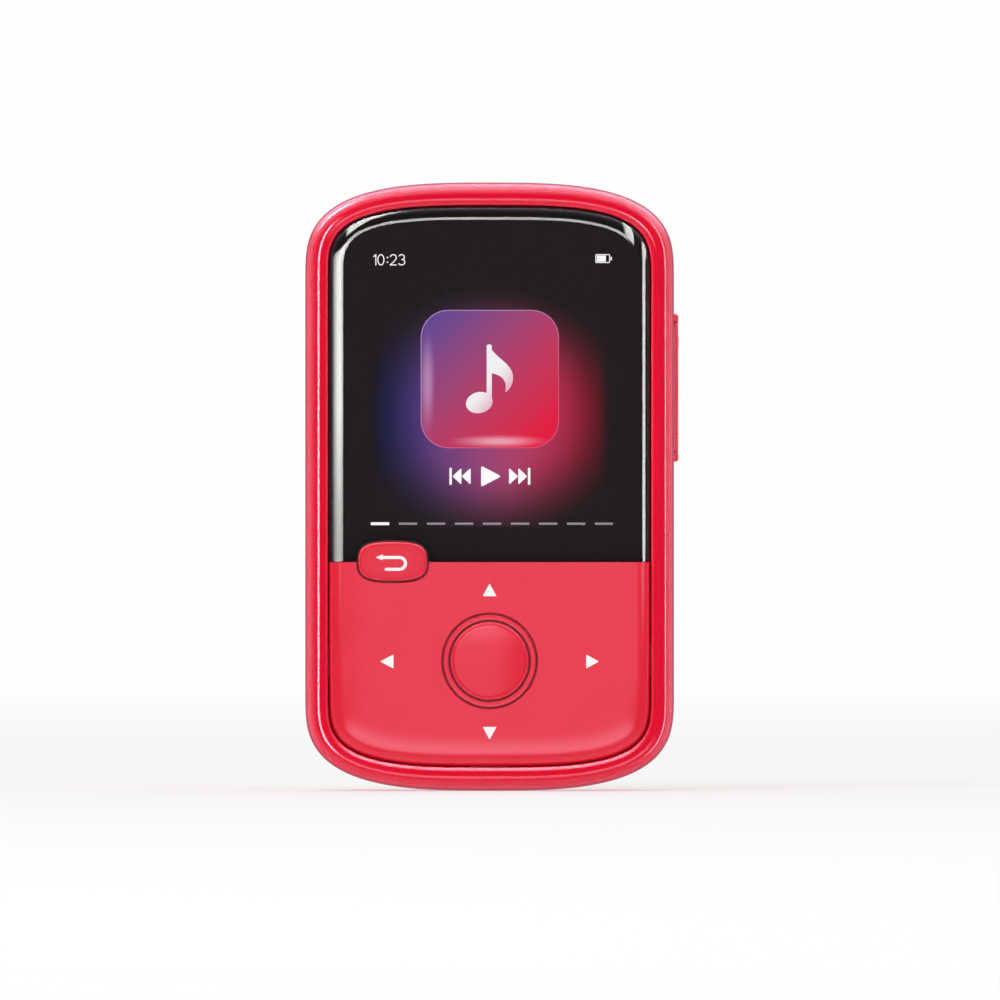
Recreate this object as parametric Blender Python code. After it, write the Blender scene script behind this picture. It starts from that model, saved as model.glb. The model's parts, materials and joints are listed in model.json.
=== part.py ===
"""Pocket digital audio player with a spring clip on its back.

Frame: metres, +Z up, X to the right, the display faces -Y. The origin is under the
middle of the player, on the level of its lowest point, half way through its thickness.
All dimensions below are millimetres and are scaled once, when an object is made.
A "span" is a (low, high) pair along one axis.
"""

import math

import bmesh
import bpy
from mathutils import Matrix, Vector

MM = 0.001
SIDES = (-1, 1)        # left, right

# ---------------------------------------------------------------- driving dimensions
HALF_WIDTH = 20.0
HEIGHT = 66.0
CORNER = 10.2          # vertical reach of the rounded end, from the side to the crown
END_POWER = 3.0        # superellipse exponent of the two ends
Z_TOP_END = HEIGHT - CORNER
Z_BOTTOM_END = CORNER
WALL = 1.5

Y_CREST = -8.10        # crest of the front bezel
Y_FACE = -8.15         # flat of the display lens and of the direction plate
Y_RIM = -7.50          # where their rolled edge meets the side
Y_LIP = -7.00          # underside of the bezel's lip
Y_PLATE_BACK = -6.90
Y_PART_FRONT = -5.05   # parting line, front shell
Y_PART_REAR = -4.90    # parting line, rear shell
Y_FLOOR = 1.90         # inner face of the rear shell's floor
Y_BACK = 3.20          # outer face of the rear shell

# insets from the case outline
INSET_FLANGE = 1.8     # lens flange, under the lip
INSET_OPENING = 2.5    # bezel opening
INSET_PCB = 2.6
INSET_PLATE = 2.7      # lens and plate outline
INSET_FLAT = 4.05      # where the flat of lens and plate begins

# keys on the front; centres are (x, z)
PAD = (0.0, 14.1)
PAD_PIVOT_Y = -6.57
MARK_REACH_X, MARK_REACH_Z = 11.15, 8.0
MARKS = {
    "up": (PAD[0], PAD[1] + MARK_REACH_Z),
    "down": (PAD[0], PAD[1] - MARK_REACH_Z),
    "left": (PAD[0] - MARK_REACH_X, PAD[1]),
    "right": (PAD[0] + MARK_REACH_X, PAD[1]),
}
BACK_KEY = (-10.5, 24.9)
BACK_KEY_HALF = (3.72, 2.12)
PLUNGER_R = 0.9
Y_DOME_TOP = -4.62
Y_PLUNGER = Y_DOME_TOP - 0.34  # end of every plunger, short of its dome

PCB_Y = (-4.30, -3.50)
Y_PARTS = PCB_Y[1] + 0.05      # seat of the parts on the board's back
Y_JACK_FRONT = -3.42           # front of the headphone jack and of the side key board

# screw bosses, keyed by side and level: (side, x, z)
BOSS_X, BOSS_Z = 16.25, (9.5, 53.5)
BOSS_R = 1.2
SCREW_HOLE_R = 0.85
BOSSES = {f"{i}{j}": (side, side * BOSS_X, z)
          for i, side in enumerate(SIDES) for j, z in enumerate(BOSS_Z)}

ROCKER_Y, ROCKER_Z = -1.3, 43.75       # centre of the volume rocker
ROCKER_OUT = 20.50                     # its outer face
ROCKER_PIVOT_X = 18.2
ROCKER_SWITCH_OFFSET = 5.0             # from the rocker's centre, up and down
POWER_X, POWER_Y, POWER_PIVOT_Z = 8.0, -1.5, 64.3

HINGE_Y, HINGE_Z = 4.9, 49.0
KNUCKLE_R = 1.5
PIN_R = 0.70
PIN_BORE_R = PIN_R + 0.09

JACK_Y, JACK_Z = -0.9, 14.2
USB_Y, USB_Z = -2.15, 17.0
CARD_Y, CARD_Z = -2.75, 40.0

# ---------------------------------------------------------------- scene and materials
for old in list(bpy.data.objects):
    bpy.data.objects.remove(old, do_unlink=True)


def linear(channel):
    """Linear value of an sRGB channel given as 0 to 255."""
    value = channel / 255
    return value / 12.92 if value <= 0.04045 else ((value + 0.055) / 1.055) ** 2.4


def material(name, rgb, roughness, metallic=0.0):
    mat = bpy.data.materials.new(name)
    mat.use_nodes = True
    colour = (*(linear(channel) for channel in rgb), 1.0)
    inputs = mat.node_tree.nodes["Principled BSDF"].inputs
    inputs["Base Color"].default_value = colour
    inputs["Roughness"].default_value = roughness
    inputs["Metallic"].default_value = metallic
    mat.diffuse_color = colour
    return mat


RED_SHELL = material("red_shell", rgb=(222, 16, 46), roughness=0.16)
RED_FACE = material("red_face", rgb=(228, 52, 70), roughness=0.2)
RED_KEY = material("red_key", rgb=(230, 54, 72), roughness=0.22)
LENS = material("lens_black", rgb=(18, 17, 18), roughness=0.05)
LCD_GLASS = material("lcd_glass", rgb=(30, 32, 40), roughness=0.1)
BACKLIGHT = material("backlight_white", rgb=(225, 226, 224), roughness=0.4)
FOAM = material("foam_black", rgb=(26, 26, 27), roughness=0.9)
SILICONE = material("silicone_grey", rgb=(96, 98, 102), roughness=0.6)
BOARD = material("solder_mask_green", rgb=(18, 74, 48), roughness=0.35)
CHIP = material("chip_epoxy", rgb=(28, 28, 30), roughness=0.55)
STEEL = material("steel", rgb=(196, 197, 200), roughness=0.25, metallic=1.0)
DARK_STEEL = material("dark_steel", rgb=(92, 92, 96), roughness=0.32, metallic=1.0)
FILM = material("film_amber", rgb=(196, 132, 44), roughness=0.3)
POUCH = material("battery_pouch", rgb=(176, 178, 182), roughness=0.35, metallic=0.7)
BLACK = material("moulded_black", rgb=(24, 24, 25), roughness=0.45)
WIRE_RED = material("wire_red", rgb=(196, 24, 28), roughness=0.5)
WIRE_BLACK = material("wire_black", rgb=(22, 22, 24), roughness=0.5)


# ---------------------------------------------------------------- spans and loops
def about(centre, half):
    return centre - half, centre + half


def grow(span, margin):
    return span[0] - margin, span[1] + margin


def sided(side, near, far):
    """The x span between two distances from the middle, on one side."""
    return tuple(sorted((side * near, side * far)))


def even_angles(steps):
    return [math.pi / 2 * i / steps for i in range(steps + 1)]


def quarter_arc(half_x, half_z, power, angles):
    """Points (x, z) on one quarter of a superellipse, from the side to the crown."""
    return [(half_x * max(math.cos(t), 0.0) ** (2 / power), half_z * math.sin(t) ** (2 / power))
            for t in angles]


def tongue(quarter, top, bottom, y):
    """A loop with straight sides and the quarter mirrored into a rounded end at each level."""
    loop = [(x, top + z) for x, z in quarter]
    loop += [(-x, top + z) for x, z in reversed(quarter[:-1])]
    loop += [(-x, bottom - z) for x, z in quarter]
    loop += [(x, bottom - z) for x, z in reversed(quarter[:-1])]
    return [Vector((x, y, z)) for x, z in loop]


def pill(half_x, half_z, centre, y):
    """A rounded-rectangle loop, as a superellipse about centre (x, z) at depth y."""
    quarter = quarter_arc(half_x, half_z, 3.0, even_angles(6))
    loop = quarter + [(-x, z) for x, z in reversed(quarter[:-1])]
    loop += [(-x, -z) for x, z in quarter[1:]]
    loop += [(x, -z) for x, z in reversed(quarter[1:-1])]
    return [Vector((centre[0] + x, y, centre[1] + z)) for x, z in loop]


OUTLINE_STEPS = 9       # in one quarter
FINE_STEPS = 400        # samples used to place those steps
ARC_PER_TURN = 24.0     # arc length that counts as much as a right-angle turn


def outline_angles():
    """Angles that share out arc length and turning evenly along one rounded quarter."""
    fine = even_angles(FINE_STEPS)
    points = quarter_arc(HALF_WIDTH, CORNER, END_POWER, fine)
    cost = [0.0]
    heading = None
    for (x0, z0), (x1, z1) in zip(points, points[1:]):
        new_heading = math.atan2(z1 - z0, x1 - x0)
        turn = 0.0 if heading is None else abs(new_heading - heading)
        heading = new_heading
        arc = math.hypot(x1 - x0, z1 - z0)
        cost.append(cost[-1] + arc / ARC_PER_TURN + turn / (math.pi / 2))
    angles, j = [0.0], 0
    for k in range(1, OUTLINE_STEPS):
        while cost[j] < cost[-1] * k / OUTLINE_STEPS:
            j += 1
        angles.append(fine[j])
    return angles + [math.pi / 2]


OUTLINE_ANGLES = outline_angles()


def outline(inset, y):
    """The case outline, inset, at depth y."""
    quarter = quarter_arc(HALF_WIDTH - inset, CORNER - inset, END_POWER, OUTLINE_ANGLES)
    return tongue(quarter, Z_TOP_END, Z_BOTTOM_END, y)


# ---------------------------------------------------------------- mesh helpers
def skin(rings, closed=False):
    """Bridges equal loops of points, with a face over each end or joined end to start."""
    bm = bmesh.new()
    loops = [[bm.verts.new(p) for p in ring] for ring in rings]
    count = len(loops[0])
    pairs = list(zip(loops, loops[1:]))
    if closed:
        pairs.append((loops[-1], loops[0]))
    for one, two in pairs:
        for i in range(count):
            following = (i + 1) % count
            bm.faces.new((one[i], one[following], two[following], two[i]))
    if not closed:
        bm.faces.new(list(reversed(loops[0])))
        bm.faces.new(loops[-1])
    return bm


def case_skin(section, closed=False):
    """Follows the case outline with a section of (inset, y) points."""
    return skin([outline(inset, y) for inset, y in section], closed)


def extrude_x(section, span):
    """Carries a section of (y, z) points along x."""
    return skin([[Vector((x, y, z)) for y, z in section] for x in span])


def box(x, y, z):
    """A box from its three spans."""
    bm = bmesh.new()
    for v in bmesh.ops.create_cube(bm, size=1.0)["verts"]:
        v.co = Vector([(low + high) / 2 + c * (high - low)
                       for c, (low, high) in zip(v.co, (x, y, z))])
    return bm


def rounded_box(x, y, z, radius, segments=2, along=None):
    """A box with all edges rounded, or only the edges that run along one axis."""
    bm = box(x, y, z)
    edges = bm.edges[:]
    if along:
        axis = "xyz".index(along)
        edges = [e for e in edges
                 if abs((e.verts[0].co - e.verts[1].co)[axis]) > 1e-6]
    bmesh.ops.bevel(bm, geom=edges, offset=radius, segments=segments, profile=0.5,
                    affect="EDGES")
    return bm


def rod(axis, centre, radius, span, segments):
    """A rod over a span of x or y; centre holds its other two coordinates, in axis order."""
    bm = bmesh.new()
    middle = (span[0] + span[1]) / 2
    if axis == "x":
        place = (middle, *centre)
        turn = Matrix.Rotation(math.radians(90), 4, "Y")
    else:
        place = (centre[0], middle, centre[1])
        turn = Matrix.Rotation(math.radians(-90), 4, "X")
    bmesh.ops.create_cone(bm, cap_ends=True, cap_tris=False, segments=segments,
                          radius1=radius, radius2=radius, depth=span[1] - span[0],
                          matrix=Matrix.Translation(place) @ turn)
    return bm


def turned(profile, centre, segments, closed=False):
    """Turns (radius, y) points about the Y direction through centre (x, z).

    A closed profile makes a ring; an open one gets a flat disc at each end.
    """
    turns = [2 * math.pi * i / segments for i in range(segments)]
    return skin([[Vector((centre[0] + radius * math.cos(a), y, centre[1] + radius * math.sin(a)))
                  for a in turns] for radius, y in profile], closed)


# ---------------------------------------------------------------- object helpers
def add(name, bm, mat, at=(0.0, 0.0, 0.0), smooth=30.0):
    """Turns a bmesh in millimetres into an object in metres whose origin is at 'at' (mm)."""
    bmesh.ops.remove_doubles(bm, verts=bm.verts, dist=1e-5)
    bmesh.ops.recalc_face_normals(bm, faces=bm.faces)
    bm.transform(Matrix.Scale(MM, 4) @ Matrix.Translation(-Vector(at)))
    mesh = bpy.data.meshes.new(name)
    bm.to_mesh(mesh)
    bm.free()
    obj = bpy.data.objects.new(name, mesh)
    obj.location = Vector(at) * MM
    bpy.context.scene.collection.objects.link(obj)
    if mat:
        mesh.materials.append(mat)
        mesh.shade_smooth()
        mesh.set_sharp_from_angle(angle=math.radians(smooth))
    return obj


def helper(name, bm):
    obj = add("guide_" + name, bm, None)
    obj.hide_render = True
    obj.display_type = "WIRE"
    return obj


def boolean(obj, guide, operation):
    modifier = obj.modifiers.new(operation.lower() + "_" + guide.name, "BOOLEAN")
    modifier.operation = operation
    modifier.solver = "EXACT"
    modifier.object = guide


def cut(obj, name, bm):
    boolean(obj, helper(name, bm), "DIFFERENCE")


def fuse(obj, name, bm):
    boolean(obj, helper(name, bm), "UNION")


def wire(name, points, radius, mat):
    """A round wire through points in millimetres."""
    curve = bpy.data.curves.new(name, "CURVE")
    curve.dimensions = "3D"
    curve.bevel_depth = radius * MM
    curve.bevel_resolution = 1
    curve.use_fill_caps = True
    spline = curve.splines.new("POLY")
    spline.points.add(len(points) - 1)
    for point, (x, y, z) in zip(spline.points, points):
        point.co = (x * MM, y * MM, z * MM, 1.0)
    curve.materials.append(mat)
    bpy.context.scene.collection.objects.link(bpy.data.objects.new(name, curve))


# ---------------------------------------------------------------- front bezel
BEZEL_SHOULDER_Y = -5.9     # where the side starts to roll towards the crest
BEZEL_REACH = 1.65          # inset of the crest
BEZEL_ROLL_POWER = 0.95
BEZEL_INNER_DROP = 0.45     # from the crest to the edge of the opening


def bezel_section():
    """(inset, y) from the parting line over the crest to the lip and back."""
    section = [(0.0, Y_PART_FRONT)]
    for t in even_angles(6):
        section.append((BEZEL_REACH * (1 - math.cos(t) ** BEZEL_ROLL_POWER),
                        BEZEL_SHOULDER_Y
                        + (Y_CREST - BEZEL_SHOULDER_Y) * math.sin(t) ** BEZEL_ROLL_POWER))
    for t in even_angles(3)[1:]:
        section.append((BEZEL_REACH + (INSET_OPENING - BEZEL_REACH) * math.sin(t),
                        Y_CREST + BEZEL_INNER_DROP * (1 - math.cos(t))))
    return section + [(INSET_OPENING, Y_LIP), (WALL, Y_LIP), (WALL, Y_PART_FRONT)]


def build_front_bezel():
    """The front shell, with four webbed screw bosses."""
    bezel = add("front_bezel", case_skin(bezel_section(), closed=True), RED_SHELL)
    for tag, (side, x, z) in BOSSES.items():
        fuse(bezel, f"boss_{tag}", rod("y", (x, z), BOSS_R, (-6.0, 1.75), 16))
        fuse(bezel, f"web_{tag}",
             box(x=sided(side, BOSS_X + 0.4, 18.9), y=(-5.95, -5.15), z=about(z, 0.5)))
        cut(bezel, f"pilot_{tag}", rod("y", (x, z), SCREW_HOLE_R, (-4.2, 2.5), 12))


# ---------------------------------------------------------------- display lens, direction plate
Z_SEAM = 24.85              # seam between lens and direction plate
SEAM_HALF = 0.10
ROLL_TURN = math.radians(78)
ROLL_STEPS = 3
Y_FLANGE_BACK = -6.35       # back of the lens flange
INSET_LENS_BACK = 3.6
PAD_HOLE_R = 5.2
LEG_Y = (-7.3, -5.8)
TAB_Y = (-6.25, -5.82)
TAB_TRIM = 0.15             # tab kept inside its span in z, at each end
LEG_Z = about(PAD[1], 2.0)
# leg x span, leg z span, tab x span, tab z span before the trim
PLATE_LEGS = {
    "left": ((-17.1, -16.4), LEG_Z, (-17.85, -16.4), LEG_Z),
    "right": ((16.4, 17.1), LEG_Z, (16.4, 17.85), LEG_Z),
    "bottom": ((-2.0, 2.0), (2.95, 3.65), (-2.0, 2.0), (2.2, 3.65)),
}


def rolled_edge():
    """(inset, y) from the start of the flat out to the rim: a soft quarter-ellipse roll."""
    section = []
    for i in range(ROLL_STEPS + 1):
        t = ROLL_TURN * i / ROLL_STEPS
        out = math.sin(t) / math.sin(ROLL_TURN)
        down = (1 - math.cos(t)) / (1 - math.cos(ROLL_TURN))
        section.append((INSET_FLAT - (INSET_FLAT - INSET_PLATE) * out,
                        Y_FACE + (Y_RIM - Y_FACE) * down))
    return section


def build_display_lens(key_opening):
    """The black window above the seam, with a flange that sits under the bezel's lip."""
    section = rolled_edge() + [
        (INSET_PLATE, Y_LIP + 0.05), (INSET_FLANGE, Y_LIP + 0.05),
        (INSET_FLANGE, Y_FLANGE_BACK), (INSET_LENS_BACK, Y_FLANGE_BACK),
        (INSET_LENS_BACK, Y_PLATE_BACK)]
    lens = add("display_lens", case_skin(section), LENS)
    cut(lens, "below_seam", box(x=(-30, 30), y=(-12, 0), z=(-5, Z_SEAM + SEAM_HALF)))
    boolean(lens, key_opening, "DIFFERENCE")


def build_dpad_plate(key_opening):
    """The direction plate below the seam, with its plungers and three tabbed legs."""
    plate = add("dpad_plate", case_skin(rolled_edge() + [(INSET_PLATE, Y_PLATE_BACK)]),
                RED_FACE, at=(PAD[0], PAD_PIVOT_Y, PAD[1]))
    for key, mark in MARKS.items():
        fuse(plate, "plunger_" + key, rod("y", mark, PLUNGER_R, (-7.4, Y_PLUNGER), 12))
    for key, (leg_x, leg_z, tab_x, tab_z) in PLATE_LEGS.items():
        fuse(plate, "leg_" + key, box(leg_x, LEG_Y, leg_z))
        fuse(plate, "tab_" + key, box(tab_x, TAB_Y, grow(tab_z, -TAB_TRIM)))
    cut(plate, "above_seam", box(x=(-30, 30), y=(-12, 0), z=(Z_SEAM - SEAM_HALF, 80)))
    boolean(plate, key_opening, "DIFFERENCE")
    cut(plate, "pad_hole", rod("y", PAD, PAD_HOLE_R, (-9.0, -6.0), 32))


def build_face():
    half_x, half_z = (half + 0.2 for half in BACK_KEY_HALF)
    opening = skin([pill(half_x, half_z, BACK_KEY, y) for y in (-9.0, -5.0)])
    key_opening = helper("back_key_opening", opening)
    build_display_lens(key_opening)
    build_dpad_plate(key_opening)


# ---------------------------------------------------------------- direction pad centre, back key
COLLAR_IN, COLLAR_OUT = 4.45, 5.0
# (radius, y) sections
COLLAR_SECTION = [
    (COLLAR_IN, -7.90), (COLLAR_IN + 0.12, -8.02), (COLLAR_OUT - 0.12, -8.02),
    (COLLAR_OUT, -7.90), (COLLAR_OUT, -6.2), (6.2, -6.2), (6.2, -4.36), (5.45, -4.36),
    (5.45, -5.8), (COLLAR_IN, -5.8),
]
PIVOT_RING_Y = about(PAD_PIVOT_Y, 0.15)
PIVOT_RING_SECTION = [
    (5.3, PIVOT_RING_Y[0]), (6.15, PIVOT_RING_Y[0]),
    (6.15, PIVOT_RING_Y[1]), (5.3, PIVOT_RING_Y[1]),
]
SELECT_R = 4.25
SELECT_SHOULDER_Y = -5.72
SELECT_SECTION = [
    (2.6, -8.24), (3.7, -8.2), (4.08, -8.12), (4.2, -8.02), (SELECT_R, -7.85),
    (SELECT_R, SELECT_SHOULDER_Y), (5.2, SELECT_SHOULDER_Y), (5.2, -5.35), (1.0, -5.35),
    (1.0, Y_PLUNGER),
]
BACK_KEY_SHOULDER_Y = -6.12
# growth of the half width, growth of the half height, y
BACK_KEY_RINGS = [
    (-0.9, -0.75, -8.36), (-0.32, -0.3, -8.27), (-0.08, -0.08, -8.1), (0.0, 0.0, -7.88),
    (0.0, 0.0, BACK_KEY_SHOULDER_Y), (0.5, 0.3, BACK_KEY_SHOULDER_Y), (0.5, 0.3, -5.7),
]


def build_pad_centre():
    add("dpad_collar", turned(COLLAR_SECTION, PAD, 32, closed=True), RED_FACE)
    add("dpad_pivot_ring", turned(PIVOT_RING_SECTION, PAD, 24, closed=True), SILICONE,
        at=(PAD[0], PAD_PIVOT_Y, PAD[1]))
    add("select_button", turned(SELECT_SECTION, PAD, 32), RED_KEY,
        at=(PAD[0], SELECT_SHOULDER_Y, PAD[1]))


def build_back_button():
    half_x, half_z = BACK_KEY_HALF
    rings = [pill(half_x + dx, half_z + dz, BACK_KEY, y) for dx, dz, y in BACK_KEY_RINGS]
    button = add("back_button", skin(rings), RED_KEY,
                 at=(BACK_KEY[0], BACK_KEY_SHOULDER_Y, BACK_KEY[1]))
    fuse(button, "back_post", rod("y", BACK_KEY, PLUNGER_R, (-5.9, Y_PLUNGER), 12))


# ---------------------------------------------------------------- rear housing
BACK_EDGE_R = 2.4
LUG_X = (7.6, 9.6)          # hinge lugs, distances from the middle
ROCKER_SLOT_Z = about(ROCKER_Z, 7.3)
SIDE_CUT = (17.0, 22.0)     # x span of the cuts through the right wall


def rear_section():
    """(inset, y) from the back face round its edge to the parting line and inside."""
    section = [(BACK_EDGE_R + 0.6, Y_BACK)]
    for t in even_angles(4):
        section.append((BACK_EDGE_R * (1 - math.sin(t)),
                        Y_BACK - BACK_EDGE_R * (1 - math.cos(t))))
    return section + [(0.0, Y_PART_REAR), (WALL, Y_PART_REAR), (WALL, 0.9), (2.5, Y_FLOOR)]


def add_hinge_lugs(housing):
    hinge = (HINGE_Y, HINGE_Z)
    for side in SIDES:
        lug_x = sided(side, *LUG_X)
        fuse(housing, f"lug_{side + 1}", rod("x", hinge, KNUCKLE_R, lug_x, 20))
        fuse(housing, f"lug_foot_{side + 1}",
             box(x=grow(lug_x, -0.01), y=(2.6, HINGE_Y), z=about(HINGE_Z, KNUCKLE_R)))
    cut(housing, "hinge_bore", rod("x", hinge, PIN_BORE_R, (-12, 12), 16))


def cut_side_openings(housing):
    left_cut = sided(-1, *SIDE_CUT)
    cut(housing, "volume_slot",
        rounded_box(x=SIDE_CUT, y=about(ROCKER_Y, 1.42), z=ROCKER_SLOT_Z,
                    radius=0.8, segments=3, along="x"))
    # the surround has no front wall beside the rocker, so the bar shows between two end stops
    cut(housing, "volume_front",
        box(x=(19.85, 21.0), y=(ROCKER_Y - 2.3, ROCKER_Y - 1.0), z=ROCKER_SLOT_Z))
    cut(housing, "power_slot",
        rounded_box(x=about(POWER_X, 3.2), y=about(POWER_Y, 1.4), z=(62.5, 68.0),
                    radius=1.2, segments=3, along="z"))
    cut(housing, "jack_hole", rod("x", (JACK_Y, JACK_Z), 2.15, SIDE_CUT, 24))
    cut(housing, "usb_slot",
        rounded_box(x=left_cut, y=about(USB_Y, 1.45), z=about(USB_Z, 4.0),
                    radius=0.6, along="x"))
    cut(housing, "card_slot",
        rounded_box(x=left_cut, y=about(CARD_Y, 0.65), z=about(CARD_Z, 5.9),
                    radius=0.3, segments=1, along="x"))


def build_rear_housing():
    housing = add("rear_housing", case_skin(rear_section()), RED_SHELL)
    fuse(housing, "volume_surround",
         rounded_box(x=(19.0, ROCKER_OUT + 0.02), y=about(ROCKER_Y, 2.0),
                     z=about(ROCKER_Z, 8.05), radius=0.35))
    add_hinge_lugs(housing)
    cut_side_openings(housing)
    for tag, (_, x, z) in BOSSES.items():
        cut(housing, f"screw_hole_{tag}", rod("y", (x, z), SCREW_HOLE_R, (0.5, 4.0), 12))
        cut(housing, f"counterbore_{tag}", rod("y", (x, z), 1.35, (2.45, 4.0), 20))


# ---------------------------------------------------------------- case screws
SCREW_SECTION = [           # (radius, y), from the head to the tip
    (0.55, 3.12), (0.95, 3.05), (1.15, 2.85), (1.15, 2.52), (0.68, 2.52), (0.68, -2.1),
    (0.35, -2.5),
]
RECESS_LONG, RECESS_SHORT = 0.62, 0.13     # half sizes of one bar of the cross


def build_screws():
    """Pan-head case screws, with a cross recess and a plain shank where the thread runs."""
    for level, z in zip(("bottom", "top"), BOSS_Z):
        for side_name, side in zip(("left", "right"), SIDES):
            name = f"screw_{level}_{side_name}"
            x = side * BOSS_X
            screw = add(name, turned(SCREW_SECTION, (x, z), 14), DARK_STEEL)
            bars = ((RECESS_LONG, RECESS_SHORT), (RECESS_SHORT, RECESS_LONG))
            for k, (half_x, half_z) in enumerate(bars):
                cut(screw, f"{name}_{k}",
                    box(x=about(x, half_x), y=(2.75, 3.6), z=about(z, half_z)))


# ---------------------------------------------------------------- volume rocker, power button
def build_volume_rocker():
    cap = rounded_box(x=(18.45, ROCKER_OUT), y=about(ROCKER_Y, 1.22), z=about(ROCKER_Z, 7.1),
                      radius=0.4)
    rocker = add("volume_rocker", cap, RED_KEY, at=(ROCKER_PIVOT_X, ROCKER_Y, ROCKER_Z))
    fuse(rocker, "rocker_flange",
         box(x=(17.75, 18.18), y=about(ROCKER_Y, 1.9), z=about(ROCKER_Z, 6.6)))
    fuse(rocker, "rocker_neck",
         box(x=(17.95, 18.9), y=about(ROCKER_Y, 1.1), z=about(ROCKER_Z, 6.3)))
    for k, direction in enumerate((-1, 1)):
        nub_z = about(ROCKER_Z + direction * ROCKER_SWITCH_OFFSET, 0.6)
        fuse(rocker, f"rocker_nub_{k}", box(x=(17.45, 17.9), y=about(ROCKER_Y, 0.6), z=nub_z))


def build_power_button():
    """A key in the top edge, its cap trimmed to the curve of the case."""
    cap = rounded_box(x=about(POWER_X, 3.0), y=about(POWER_Y, 1.2), z=(63.5, 68.0),
                      radius=1.05, segments=3, along="z")
    button = add("power_button", cap, RED_KEY, at=(POWER_X, POWER_Y, POWER_PIVOT_Z))
    crown = case_skin([(0.03, -4.0), (0.03, 1.0)])
    boolean(button, helper("power_crown", crown), "INTERSECT")
    fuse(button, "power_flange",
         box(x=about(POWER_X, 3.4), y=about(POWER_Y, 1.7), z=(63.2, 63.65)))
    fuse(button, "power_post",
         box(x=about(POWER_X, 0.7), y=(POWER_Y - 1.2, POWER_Y), z=(62.75, 63.4)))


# ---------------------------------------------------------------- clip, its pin and spring
CLIP_Y = (6.6, 8.5)
CLIP_Z = (13.0, 59.0)
CLIP_HALF_WIDTH = 12.5
CLIP_END = 6.0              # vertical reach of each rounded end
CLIP_POWER = 2.6            # superellipse exponent of the ends
CLIP_RINGS = [              # (inset, y)
    (0.25, CLIP_Y[0]), (0.0, CLIP_Y[0] + 0.25), (0.0, CLIP_Y[1] - 0.75),
    (0.25, CLIP_Y[1] - 0.3), (0.9, CLIP_Y[1]),
]
EAR_X = (10.0, 11.5)        # clip ears, distances from the middle
JAW_SECTION = [             # (y, z)
    (6.9, 17.6), (5.4, 17.2), (4.1, 16.4), (3.45, 16.0), (3.9, 15.45), (3.45, 14.9),
    (3.9, 14.35), (3.9, 13.9), (5.2, 13.55), (6.9, 13.7),
]
GROOVE_Z, GROOVE_PITCH = 53.2, 1.6         # lowest thumb groove, and their spacing
SPRING_R, SPRING_HALF = 1.22, 2.5          # mean coil radius, half the coil's length
SPRING_TURNS, SPRING_STEPS = 4, 12         # full turns, and steps in each turn's count
SPRING_LEG = (0.9, 5.2)                    # height of a leg's ends above the hinge


def clip_loop(inset, y):
    """The clip plate's outline: a tongue, straight at the sides and rounded at both ends."""
    quarter = quarter_arc(CLIP_HALF_WIDTH - inset, CLIP_END - inset, CLIP_POWER, even_angles(7))
    return tongue(quarter, CLIP_Z[1] - CLIP_END, CLIP_Z[0] + CLIP_END, y)


def build_clip():
    clip = add("clip", skin([clip_loop(inset, y) for inset, y in CLIP_RINGS]), RED_SHELL,
               at=(0.0, HINGE_Y, HINGE_Z))
    hinge = (HINGE_Y, HINGE_Z)
    for k, side in enumerate(SIDES):
        ear_x = sided(side, *EAR_X)
        fuse(clip, f"ear_{k}", rod("x", hinge, KNUCKLE_R, ear_x, 20))
        fuse(clip, f"ear_root_{k}",
             box(x=grow(ear_x, -0.01), y=(HINGE_Y, 7.0), z=about(HINGE_Z, KNUCKLE_R)))
    # a cross bar with two teeth that closes on the housing
    fuse(clip, "jaw", extrude_x(JAW_SECTION, (-9.5, 9.5)))
    cut(clip, "clip_bore", rod("x", hinge, PIN_BORE_R, (-13, 13), 16))
    for k in range(3):
        groove = (CLIP_Y[1] + 0.25, GROOVE_Z + GROOVE_PITCH * k)
        cut(clip, f"thumb_groove_{k}", rod("x", groove, 0.5, (-7.0, 7.0), 12))


def build_clip_pin():
    add("clip_pin", rod("x", (HINGE_Y, HINGE_Z), PIN_R, (-11.4, 11.4), 16), STEEL)


def build_clip_spring():
    """A torsion spring round the pin: one leg up the housing, the coil, one leg up the clip."""
    steps = SPRING_TURNS * SPRING_STEPS
    sweep = 2 * math.pi * SPRING_TURNS + math.pi
    leg_low, leg_high = (HINGE_Z + height for height in SPRING_LEG)
    points = [(-SPRING_HALF, HINGE_Y - SPRING_R, z) for z in (leg_high, leg_low)]
    for i in range(steps + 1):
        angle = math.pi + sweep * i / steps
        points.append((-SPRING_HALF + 2 * SPRING_HALF * i / steps,
                       HINGE_Y + SPRING_R * math.cos(angle),
                       HINGE_Z + SPRING_R * math.sin(angle)))
    points += [(SPRING_HALF, HINGE_Y + SPRING_R, z) for z in (leg_low, leg_high)]
    wire("clip_spring", points, 0.24, STEEL)


# ---------------------------------------------------------------- display stack
LCD_X, LCD_Z = (-14.6, 14.6), (27.9, 61.6)
ACTIVE_X, ACTIVE_Z = (-13.4, 13.4), (28.6, 58.8)
RIBBON_X = (-8.0, 2.0)
RIBBON_HALF_THICK = 0.06
RIBBON_ENDS_Z = (61.75, 57.5)              # at the panel, and behind the board
FOLD_Y, FOLD_Z, FOLD_R = -4.1, 63.2, 0.88  # centre and radius of the ribbon's fold
FOLD_STEPS = 8


def build_display():
    add("lcd_panel", rounded_box(LCD_X, (-6.25, -5.40), LCD_Z, 0.15, 1, along="y"), LCD_GLASS)
    add("lcd_backlight", rounded_box(LCD_X, (-5.35, -4.40), LCD_Z, 0.3, 1, along="y"),
        BACKLIGHT)
    gasket = add("lens_gasket", box(x=(-14.2, 14.2), y=(-6.85, -6.32), z=(28.0, 59.9)), FOAM)
    cut(gasket, "gasket_window", box(grow(ACTIVE_X, 0.1), (-8, -5), grow(ACTIVE_Z, 0.1)))


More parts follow.
